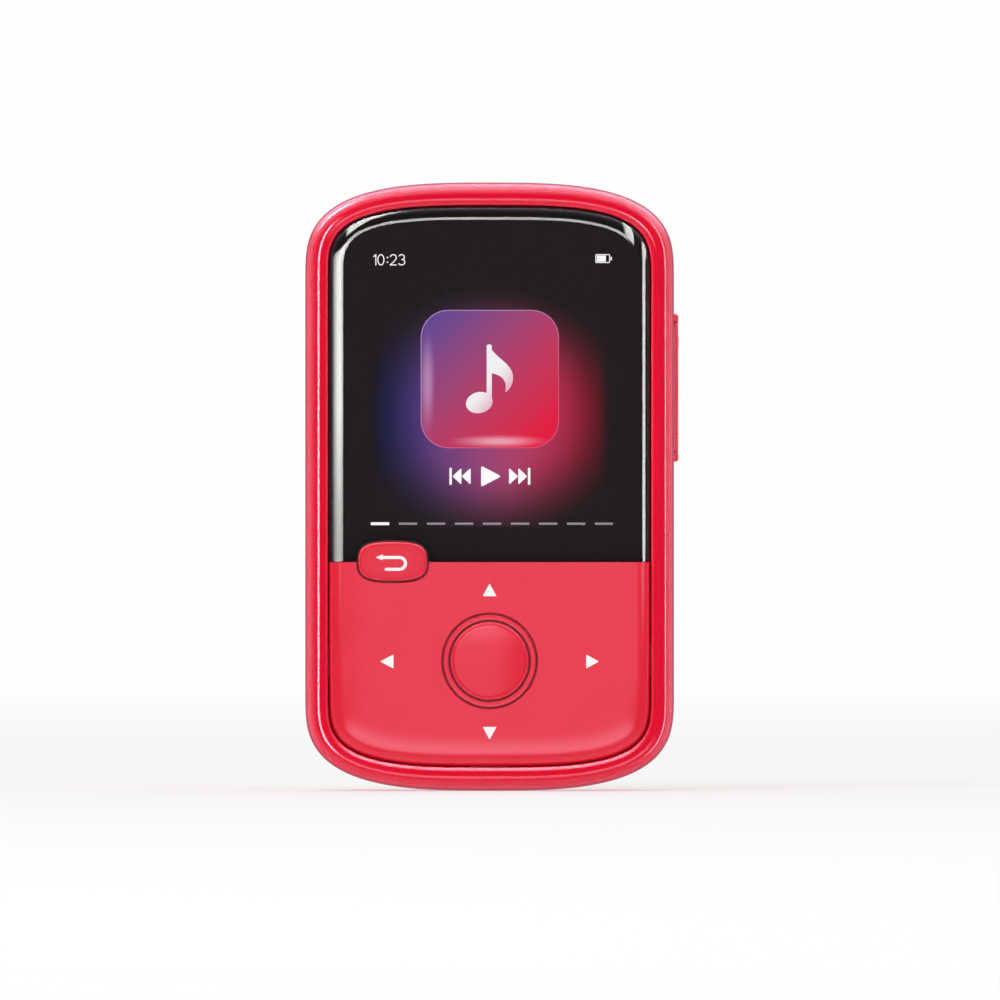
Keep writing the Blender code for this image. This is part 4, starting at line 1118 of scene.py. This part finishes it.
# ================================================================ display picture
ICON, ICON_HALF = (0.03, 44.67), 7.5                 # centre x, z
NOTE_Y, UI_Y = (-6.40, -6.365), (-6.345, -6.315)
# display colours against x, and against the diagonal x + (icon centre z - z), in mm
GLOW_STOPS = [(-12.6, (22, 34, 104)), (-9.7, (66, 55, 123)), (-5.4, (111, 71, 129)),
              (-1.0, (154, 74, 125)), (2.2, (176, 73, 114)), (5.4, (184, 61, 94)),
              (8.5, (188, 50, 80)), (12.4, (180, 30, 46))]
ICON_STOPS = [(-14.0, (98, 78, 156)), (-10.2, (120, 79, 146)), (-6.9, (144, 77, 136)),
              (-4.2, (160, 76, 127)), (-1.5, (176, 73, 118)), (1.2, (190, 68, 107)),
              (4.5, (206, 62, 96)), (9.9, (228, 48, 78))]


def ramp(tree, value, stops, start, end):
    """Colours along value. stops: (place, 8-bit display colour)."""
    share = tree.step(value, start, end, kind="LINEAR")
    node = tree.new("ShaderNodeValToRGB", {0: share})
    elements = node.color_ramp.elements
    while len(elements) < len(stops):
        elements.new(0.5)
    for element, (place, colour) in zip(elements, stops):
        element.position = (place - start) / (end - start)
        element.color = (*display(*colour), 1.0)
    return node.outputs[0]


def to_light(tree, colour):
    """Display values to linear light."""
    return tree.new("ShaderNodeGamma", {0: colour, 1: 2.2}).outputs[0]


def scaled(tree, value, centre, reach):
    return tree.mul(tree.sub(value, centre), 1 / reach)


def spot(tree, x, z, centre, reach):
    """A soft elliptical spot: 1 at its centre, 0 at its edge."""
    distance = tree.square_sum(scaled(tree, x, centre[0], reach[0]),
                               scaled(tree, z, centre[1], reach[1]))
    inside = tree.sub(1.0, distance, clamp=True)
    return tree.mul(inside, inside)


def diagonal(tree, x, z):
    return tree.add(x, tree.sub(ICON[1], z))


def picture_colour(tree, x, z):
    """A dark screen with a wide round glow behind the icon: blue at the left, violet, then
    crimson at the right."""
    distance = tree.length(scaled(tree, x, ICON[0], 11.4), scaled(tree, z, 40.9, 10.2))
    fall = tree.mul(tree.step(distance, 0.55, 1.42, 1.0, 0.0),
                    tree.step(tree.math("ABSOLUTE", x), 11.7, 13.37, 1.0, 0.0))
    hue = ramp(tree, x, GLOW_STOPS, -12.6, 12.4)
    return to_light(tree, tree.mix(fall, display(42, 37, 38), hue))


def icon_colour(tree, x, z):
    """Violet to red along the diagonal, with a pale streak at the left and one at the foot."""
    place = diagonal(tree, x, z)
    colour = ramp(tree, place, ICON_STOPS, -14.0, 12.8)
    colour = tree.mix(tree.step(place, 8.0, 12.8), colour, display(238, 38, 70))
    left_streak = tree.mul(spot(tree, x, z, centre=(-6.72, 44.3), reach=(0.95, 6.4)), 0.62)
    colour = tree.mix(left_streak, colour, display(214, 180, 214))
    low_streak = tree.mul(spot(tree, x, z, centre=(1.1, 37.92), reach=(6.2, 0.85)), 0.72)
    colour = tree.mix(low_streak, colour, display(255, 214, 224))
    return to_light(tree, colour)


def icon_edge_colour(tree, x, z):
    share = tree.step(diagonal(tree, x, z), -9.0, 9.0)
    return tree.mix(share, srgb(176, 152, 204), srgb(214, 96, 130))


def note_colour(tree, x, z):
    """White, turning pink towards the lower right."""
    place = tree.add(tree.mul(x, 0.16), tree.mul(tree.sub(45.0, z), 0.14), 0.35)
    return tree.mix(tree.step(place, 0.35, 1.05), srgb(255, 253, 254), srgb(236, 176, 200))


def flat_light(colour):
    def build_colour(tree, x, z):
        uneven = tree.step(tree.noise(700.0, detail=2.0), 0.2, 0.8, high=0.06)
        return tree.mix(uneven, colour, tint(colour, 0.7))
    return build_colour


def screen_piece(name, solid, material, **options):
    piece(name, solid, "case", "lcd_glass", materials=[material], **options)


screen_piece("screen_picture", box(-ACTIVE_HALF_W, ACTIVE_HALF_W, -6.31, -6.27, *ACTIVE_Z),
             glow("screen_picture", (0.1, 0.05, 0.1), picture_colour))
screen_piece("screen_icon_edge",
             prism(rounded_rect(ICON_HALF, ICON_HALF, 3.0, ICON, 12), -6.335, -6.315),
             glow("icon_edge", (0.6, 0.3, 0.5), icon_edge_colour))
icon_inner = ICON_HALF - 0.09
screen_piece("screen_icon",
             prism(rounded_rect(icon_inner, icon_inner, 2.92, ICON, 12), -6.36, -6.34),
             glow("icon_face", (0.6, 0.1, 0.2), icon_colour))

# a plain quaver: tilted head, straight stem and one tapering flag
tilt = math.radians(14)
note_head = [(-1.12 + u * math.cos(tilt) - v * math.sin(tilt),
              42.12 + u * math.sin(tilt) + v * math.cos(tilt))
             for u, v in arc((0.0, 0.0), (1.46, 1.14), range(0, 360, 10))]
note_flag = bezier((-0.05, 48.30), (0.75, 46.7), (2.95, 46.3), (2.48, 44.3))
note_flag += bezier((2.48, 44.3), (2.3, 43.7), (1.95, 43.35), (1.70, 43.25), steps=6)[1:]
note_flag += bezier((1.70, 43.25), (2.0, 44.6), (1.2, 45.2), (-0.05, 45.35))[1:]
note_stem = rounded_box(-0.32, 0.24, 42.2, 48.42, 0.2, 5)
screen_piece("screen_note", prism(note_head, *NOTE_Y), glow("note_light", (1, 0.9, 0.95), note_colour),
             jobs=[(ADD, prism(note_stem, *NOTE_Y)), (ADD, prism(note_flag, *NOTE_Y))],
             smooth=30.0)

WHITE_LIGHT = glow("ui_white", (1, 1, 1), flat_light((1.12, 1.10, 1.11)))
GREY_LIGHT = glow("ui_grey", (0.3, 0.3, 0.3), flat_light(srgb(158, 150, 156)))

# transport marks under the icon: back, play, forward
MARK_Z, MARK_TALL = 34.12, 1.15
SKIP_TALL = MARK_TALL * 0.8
marks = bmesh.new()
for x, way in ((-3.1, -1), (0.03, 0), (3.16, 1)):
    if way == 0:
        play = [(x - 0.95, MARK_Z - MARK_TALL), (x + 1.25, MARK_Z), (x - 0.95, MARK_Z + MARK_TALL)]
        prism(rounded_polygon(play, 0.16), *UI_Y, marks)
        continue
    for k in (0, 1):
        base = x + way * (-1.05 + 1.0 * k)
        chevron = [(base, MARK_Z - SKIP_TALL), (base + way * 0.98, MARK_Z),
                   (base, MARK_Z + SKIP_TALL)]
        prism(rounded_polygon(chevron, 0.1), *UI_Y, marks)
    base = x + way * 1.0
    prism(rounded_box(base, base + way * 0.26, *around(MARK_Z, SKIP_TALL), 0.08), *UI_Y, marks)
screen_piece("screen_transport_marks", marks, WHITE_LIGHT)

# page marks along the foot, the first one lit
lit, dim = bmesh.new(), bmesh.new()
for k in range(9):
    x = -12.89 + 3.04 * k
    half = 0.155 if k == 0 else 0.115
    prism(rounded_box(x, x + 2.0, *around(28.98, half), 0.05, 3), *UI_Y, dim if k else lit)
screen_piece("screen_page_mark_on", lit, WHITE_LIGHT)
screen_piece("screen_page_marks", dim, GREY_LIGHT)

# battery glyph: frame, charge and terminal
x0, x1, z0, z1 = 11.48, 13.06, 57.27, 58.22
outer = rounded_box(x0, x1, z0, z1, 0.13)
inner = rounded_box(x0 + 0.09, x1 - 0.09, z0 + 0.09, z1 - 0.09, 0.06)
glyph = skin([[Vector((x, y, z)) for x, z in points]
              for points, y in zip((outer, outer, inner, inner), UI_Y + UI_Y[::-1])], closed=True)
prism(rounded_box(x0 + 0.14, x0 + 1.14, z0 + 0.14, z1 - 0.14, 0.05, 3), *UI_Y, glyph)
prism(rounded_box(x1 + 0.06, x1 + 0.2, z0 + 0.28, z1 - 0.28, 0.05, 3), *UI_Y, glyph)
screen_piece("screen_battery_mark", glyph, WHITE_LIGHT)

# clock digits, drawn as strokes of even width
WIDE, TALL, CLOCK_Z = 0.66, 1.12, 57.05
DIGITS = {
    "0": [arc((WIDE / 2, TALL / 2), (WIDE / 2, TALL / 2), range(0, 361, 15))],
    "1": [[(WIDE * 0.18, TALL * 0.78), (WIDE * 0.38, TALL * 0.90), (WIDE * 0.58, TALL)],
          [(WIDE * 0.58, TALL), (WIDE * 0.58, TALL * 0.5), (WIDE * 0.58, 0)]],
    "2": [arc((WIDE / 2, TALL * 0.70), (WIDE / 2, TALL * 0.30), range(165, -31, -15))
          + [(WIDE * 0.62, TALL * 0.34), (0.0, 0.0)],
          [(0.0, 0.0), (WIDE * 0.5, 0.0), (WIDE, 0.0)]],
    "3": [arc((WIDE * 0.48, TALL * 0.76), (WIDE * 0.44, TALL * 0.24), range(160, -91, -15)),
          arc((WIDE * 0.48, TALL * 0.27), (WIDE * 0.52, TALL * 0.27), range(90, -161, -15))],
}
clock = bmesh.new()
left = -12.72
for sign in "10:23":
    if sign == ":":
        for rise in (0.30, 0.80):
            dot = arc((left + 0.12, CLOCK_Z + rise), (0.085, 0.085), range(0, 360, 30))
            prism(dot, *UI_Y, clock)
    else:
        for k, points in enumerate(DIGITS[sign]):
            # each stroke is a little thicker than the last, so no two faces coincide
            stroke([(left + x, CLOCK_Z + z) for x, z in points], 0.108,
                   UI_Y[0] - 0.001 * k, UI_Y[1] + 0.001 * k, round_end=sign != "0", solid=clock)
    left += {":": 0.42, "1": 0.60}.get(sign, 0.92)
screen_piece("screen_clock", clock, WHITE_LIGHT)

# ================================================================ CAD pieces that stay
slots = {part["node"]: part["material_slot"] for part in frame["record"]["subparts"]}
for name, obj in frame["nodes"].items():
    obj.data.materials.clear()
    obj.data.materials.append(FINISH[slots[name]])


# ================================================================ floor
def floor_material():
    """Pale paper that lifts its own brightness a little and fades out with distance."""
    material, tree = new_material("floor_paper", (0.9, 0.9, 0.9))
    paper = tree.step(tree.noise(380.0, detail=5.0, rough=0.6), 0.3, 0.7, high=0.4)
    colour = tree.mix(paper, (0.56, 0.56, 0.56), (0.54, 0.54, 0.541))
    diffuse = tree.new("ShaderNodeBsdfDiffuse", {"Color": colour})
    lift = tree.new("ShaderNodeEmission", {"Strength": 0.41})
    both = tree.new("ShaderNodeAddShader", {0: diffuse.outputs[0], 1: lift.outputs[0]})
    clear = tree.new("ShaderNodeBsdfTransparent")
    place = tree.xyz(tree.coords())
    fade = tree.step(tree.length(place[0], place[1]), 0.15, 1.5)     # metres from the middle
    tree.out(tree.new("ShaderNodeMixShader", {
        0: fade, 1: both.outputs[0], 2: clear.outputs[0]}).outputs[0])
    return material


def floor_disc():
    """A disc of rings that widen outwards."""
    solid, loops, count = bmesh.new(), [], 96
    for k in range(1, 41):
        radius = 1700.0 * (k / 40) ** 2
        loops.append([solid.verts.new((radius * math.cos(2 * math.pi * i / count),
                                       radius * math.sin(2 * math.pi * i / count), 0.0))
                      for i in range(count)])
    solid.faces.new(loops[0])
    for one, two in zip(loops, loops[1:]):
        for i in range(count):
            j = (i + 1) % count
            solid.faces.new((one[i], two[i], two[j], one[j]))
    return solid


floor = build("floor", floor_disc(), [floor_material()])
floor.location.z = -0.00001
for face in floor.data.polygons:
    face.use_smooth = False
floor.visible_glossy = False

# ================================================================ world and key light
# sky brightness against the angle in degrees off the axis to the camera
SKY_UP = [(28, 0.03), (50, 1.3), (84, 3.8), (112, 4.3), (124, 3.8), (147, 0.3)]
SKY_SIDE = [(40, 0.03), (66, 0.75), (96, 1.55), (122, 1.1), (146, 0.2)]
SKY_DOWN = [(26, 0.04), (56, 0.95), (110, 0.9), (140, 0.25)]
AMBIENT, BACKDROP = 0.86, 1.0        # brightness for diffuse rays and for the camera


def build_world():
    """Reflections see the graded sky, the camera a white backdrop, all else an even light."""
    world = bpy.data.worlds.new("studio")
    bpy.context.scene.world = world
    world.use_nodes = True
    tree = Tree(world.node_tree)
    ray = tree.new("ShaderNodeLightPath").outputs
    glossy, camera_ray = ray["Is Glossy Ray"], ray["Is Camera Ray"]
    toward = tree.xyz(tree.coords("Generated"))
    rho = tree.mul(tree.math("ARCCOSINE", tree.mul(toward[1], -1.0)), 180 / math.pi)
    flat = tree.math("MAXIMUM", tree.length(toward[0], toward[2]), 0.001)
    up = tree.step(tree.math("DIVIDE", toward[2], flat), 0.25, 0.85)
    down = tree.step(tree.math("DIVIDE", toward[2], flat), -0.25, -0.85)
    side = tree.sub(tree.sub(1.0, up), down, clamp=True)
    sky = tree.add(tree.mul(tree.ladder(rho, SKY_UP), up),
                   tree.add(tree.mul(tree.ladder(rho, SKY_SIDE), side),
                            tree.mul(tree.ladder(rho, SKY_DOWN), down)))
    extra_glossy = 0.0
    even = tree.mul(tree.sub(1.0, glossy), tree.sub(1.0, camera_ray), AMBIENT)
    strength = tree.add(tree.mul(glossy, sky), extra_glossy, even,
                        tree.mul(camera_ray, BACKDROP))
    colour = tree.mix(glossy, (1.0, 0.995, 0.99), (1.0, 0.94, 1.2))
    background = tree.new("ShaderNodeBackground", {"Color": colour, "Strength": strength})
    tree.new("ShaderNodeOutputWorld", {"Surface": background.outputs[0]})


build_world()

key_light = bpy.data.lights.new("key", "AREA")
key_light.shape = "RECTANGLE"
key_light.size, key_light.size_y = 0.9, 0.7
key_light.energy = 3.4
key_obj = bpy.data.objects.new("key", key_light)
key_obj.location = (-0.55, -0.95, 0.75)
aim = Vector((0, 0, 0.03)) - key_obj.location
key_obj.rotation_euler = aim.to_track_quat("-Z", "Y").to_euler()
key_obj.visible_glossy = False
key_obj.visible_camera = False
bpy.context.scene.collection.objects.link(key_obj)


# ================================================================ studio cards
def card_material(name, level_of, colour):
    material, tree = new_material(name, (1, 1, 1))
    geometry = tree.new("ShaderNodeNewGeometry").outputs
    back, place = tree.xyz(geometry["Incoming"]), tree.xyz(geometry["Position"])
    rho = tree.mul(tree.math("ARCCOSINE", back[1]), 180 / math.pi)
    toward_x, toward_z = tree.mul(back[0], -1.0), tree.mul(back[2], -1.0)
    alpha = tree.mul(tree.math("ARCTAN2", toward_z, toward_x), 180 / math.pi)
    run = tree.math("DIVIDE", tree.sub(FRONT, place[1]), tree.math("MAXIMUM", back[1], 0.05))
    from_x, from_z = [tree.mul(tree.add(place[k], tree.mul(back[k], run)), 1000.0)
                      for k in (0, 2)]
    level = level_of(tree, rho, alpha, from_x, from_z)
    level = tree.mul(level, tree.math("GREATER_THAN", back[1], -0.5))
    emission = tree.new("ShaderNodeEmission", {"Color": colour, "Strength": level})
    through = tree.new("ShaderNodeBsdfTransparent")
    tree.out(tree.new("ShaderNodeAddShader",
                      {0: emission.outputs[0], 1: through.outputs[0]}).outputs[0])
    material.cycles.emission_sampling = "NONE"
    return material


def studio_card(name, receivers, level_of, radius, colour=(1.0, 0.9, 1.12)):
    """Cards on a sphere, seen only in the reflections of their receivers.
    level_of(tree, rho, alpha, x, z) gives the brightness: rho is the reflected ray's angle off
    the axis to the camera, alpha its bearing round that axis (0 right, 90 up, 180 left,
    -90 down), and x, z in mm the place on the front that it left from."""
    solid = bmesh.new()
    bmesh.ops.create_uvsphere(solid, u_segments=48, v_segments=24, radius=radius)
    bmesh.ops.reverse_faces(solid, faces=solid.faces)
    solid.transform(Matrix.Translation((0, 0, HEIGHT / 2)))
    solid.transform(Matrix.Scale(MM, 4))
    mesh = bpy.data.meshes.new(name)
    solid.to_mesh(mesh)
    solid.free()
    mesh.materials.append(card_material(name, level_of, colour))
    card = link(name, mesh)
    card.visible_camera = card.visible_diffuse = card.visible_shadow = False
    card.visible_transmission = card.visible_volume_scatter = False
    group = bpy.data.collections.new(name + "_receivers")
    for receiver in receivers:
        group.objects.link(receiver)
    card.light_linking.receiver_collection = group


def left_window(tree, rho, alpha, x, z):
    """The broad window down the left rim. The last factor keeps it off the flat."""
    rise = tree.mul(tree.math("SINE", tree.mul(alpha, math.pi / 180)), rho)
    stops = [(0.8, 0.0), (3.6, 15.0), (13, 24.0), (24, 19.0), (31, 11.5), (38, 2.6), (43, 0.0)]
    return tree.mul(tree.ladder(rho, stops),
                    tree.step(tree.math("ABSOLUTE", alpha), 122.0, 134.0),
                    tree.step(rise, 5.0, 8.5, 1.0, 0.0),
                    tree.step(z, 26.0, 44.0, 0.55, 1.0),
                    tree.step(z, 8.0, 25.0, 0.0, 1.0),
                    tree.step(x, -15.1, -14.1, 1.0, 0.0))


def right_strip(tree, rho, x, z):
    """The upright strip at the right, fanning out against the bezel at its top."""
    over = tree.sub(x, tree.step(z, 57.2, 59.0, 0.0, 0.44))
    return tree.mul(tree.step(x, 16.50, 16.70),
                    tree.step(over, 16.86, 17.04, 17.5, 0.0),
                    tree.mul(tree.step(z, 59.45, 59.75, 1.0, 0.0), tree.step(z, 10.0, 25.0)),
                    tree.mul(tree.step(rho, 10.0, 14.0), tree.step(rho, 62.0, 76.0, 1.0, 0.0)))


def upper_left_flare(tree, rho, alpha, x):
    """A flare along the top edge, thick at its left end and thinning to the right."""
    start = tree.add(tree.step(x, -15.0, -12.6, 23.0, 34.0), tree.step(x, -12.4, -9.5, 0.0, 7.0))
    return tree.mul(tree.step(tree.sub(rho, start), 0.0, 5.0, 0.0, 19.0),
                    tree.step(rho, 78.0, 86.0, 1.0, 0.0),
                    tree.mul(tree.step(x, -15.7, -15.3), tree.step(x, -12.2, -8.4, 1.0, 0.0)),
                    tree.step(alpha, 84.0, 92.0))


def upper_right_glint(tree, rho, alpha, x, z):
    """A leaning bar that ends in a point: its near side, far side and lower cut."""
    near = tree.add(tree.sub(x, 14.66), tree.mul(tree.sub(z, 60.52), 0.1445))
    far = tree.sub(tree.sub(15.68, x), tree.mul(tree.sub(z, 59.21), 0.04))
    under = tree.add(tree.sub(z, 60.50), tree.mul(tree.sub(x, 14.61), 1.31))
    return tree.mul(tree.step(near, -0.16, 0.30), tree.step(far, -0.05, 0.09),
                    tree.mul(tree.step(under, -0.16, 0.16),
                             tree.step(rho, 70.0, 84.0, 17.5, 0.0)),
                    tree.band(alpha, 30.0, 80.0, 12.0))


def window_cards(tree, rho, alpha, x, z):
    top_line = tree.mul(tree.ladder(rho, [(2.8, 0.0), (5.6, 12.0), (11.4, 12.0), (14.2, 0.0)]),
                        tree.band(alpha, 46.0, 158.0, 9.0))
    sides = tree.math("MAXIMUM", left_window(tree, rho, alpha, x, z),
                      right_strip(tree, rho, x, z))
    top = tree.math("MAXIMUM", top_line, upper_left_flare(tree, rho, alpha, x))
    return tree.math("MAXIMUM", tree.math("MAXIMUM", sides, top),
                     upper_right_glint(tree, rho, alpha, x, z))


def low_card(tree, rho, alpha):
    return tree.mul(tree.ladder(rho, [(3, 0.0), (11, 2.9), (14, 2.9), (34, 0.0)]),
                    tree.band(alpha, -145.0, -35.0, 16.0))


def plate_cards(tree, rho, alpha, x, z):
    front = tree.mul(tree.ladder(rho, [(1.5, 1.0), (12, 0.22), (22, 0.0)]),
                     tree.step(x, -16.5, -12.2, 0.5, 1.0))
    bearing = tree.math("ABSOLUTE", alpha)           # 180 at the left, 0 at the right
    left = tree.mul(tree.ladder(rho, [(6, 0.0), (12, 1.6), (20, 0.0)]),
                    tree.mul(tree.step(bearing, 150.0, 165.0), tree.step(z, 13.0, 25.0)))
    right = tree.mul(tree.ladder(rho, [(19, 0.0), (23, 2.4), (28, 2.4), (33, 0.0)]),
                     tree.mul(tree.step(bearing, 30.0, 20.0), tree.step(z, 14.0, 25.0)))
    return tree.add(front, low_card(tree, rho, alpha), tree.add(left, right))


def back_key_cards(tree, rho, alpha, x, z):
    return tree.ladder(rho, [(1.5, 0.92), (10, 0.6), (16, 0.15), (26, 0.0)])


def side_cards(tree, rho, alpha, x, z):
    return tree.ladder(rho, [(0.0, 1.9), (24, 1.9), (50, 0.0)])


def select_cards(tree, rho, alpha, x, z):
    bearing = tree.mul(alpha, math.pi / 180)
    across = tree.mul(rho, tree.math("COSINE", bearing))
    rise = tree.mul(rho, tree.math("SINE", bearing))
    front = tree.mul(tree.step(across, 1.2, 5.5, 1.0, 0.05), tree.step(rho, 10.0, 26.0, 1.0, 0.0))
    top = tree.mul(tree.step(rise, 2.4, 9.0, 0.0, 2.5),
                   tree.mul(tree.step(across, 2.0, 8.0, 1.0, 0.2),
                            tree.step(rho, 14.0, 34.0, 1.0, 0.0)))
    return tree.add(front, top)


def case_cards(tree, rho, alpha, x, z):
    bearing = tree.math("ABSOLUTE", alpha)           # 180 at the left, 0 at the right
    left = tree.mul(tree.ladder(rho, [(5.0, 0.0), (10.0, 17.0), (20.0, 17.0), (25.0, 0.0)]),
                    tree.mul(tree.step(bearing, 120.0, 150.0),
                             tree.step(x, -14.0, -8.0, 1.0, 0.0)))
    right = tree.mul(tree.ladder(rho, [(55, 0.0), (59, 12.0), (63, 12.0), (68, 0.0)]),
                     tree.mul(tree.step(bearing, 60.0, 30.0), tree.step(x, 8.0, 14.0)))
    sill = tree.mul(tree.ladder(rho, [(28, 0.0), (46, 7.0), (78, 7.0), (86, 0.0)]),
                    tree.mul(tree.band(alpha, 50.0, 130.0, 14.0), tree.step(z, 7.0, 3.5)))
    corner = tree.mul(tree.ladder(rho, [(78, 0.0), (89, 13.0), (97, 13.0), (110, 0.0)]),
                      tree.band(alpha, 112.0, 148.0, 9.0))
    inner = tree.mul(tree.ladder(rho, [(7, 0.0), (10, 13.0), (13, 13.0), (16, 0.0)]),
                     tree.mul(tree.band(alpha, -162.0, -116.0, 9.0), tree.step(x, 12.5, 15.0)))
    low = tree.add(low_card(tree, rho, alpha), tree.add(sill, tree.add(corner, inner)))
    return tree.add(low, tree.add(left, right))


studio_card("cards_for_window", [lens], window_cards, radius=400.0, colour=(1.0, 0.995, 0.98))
studio_card("cards_for_plate", [plate, collar], plate_cards, radius=412.0)
studio_card("cards_for_back_key", [back_key], back_key_cards, radius=448.0)
studio_card("cards_for_keys", [select], select_cards, radius=424.0)
studio_card("cards_for_side", [housing, rocker], side_cards, radius=460.0)
studio_card("cards_for_case", [bezel], case_cards, radius=436.0)

# ================================================================ camera and view
DISTANCE, VIEW_WIDTH, SENSOR = 2.4, 0.10841, 36.0    # metres, metres at the front, mm
camera = bpy.data.cameras.new("camera")
camera_obj = link("camera", camera)
camera.type = "PERSP"
camera.sensor_fit = "HORIZONTAL"
camera.sensor_width = SENSOR
camera.lens = SENSOR * DISTANCE / VIEW_WIDTH
camera.clip_start, camera.clip_end = 0.01, 20.0
camera_obj.location = (0.00113, FRONT - DISTANCE, 0.03155)
camera_obj.rotation_euler = (math.radians(90), 0.0, 0.0)
bpy.context.scene.camera = camera_obj

view = bpy.context.scene.view_settings
view.view_transform = "Standard"
view.look = "None"
view.exposure = 0.0
view.gamma = 1.0
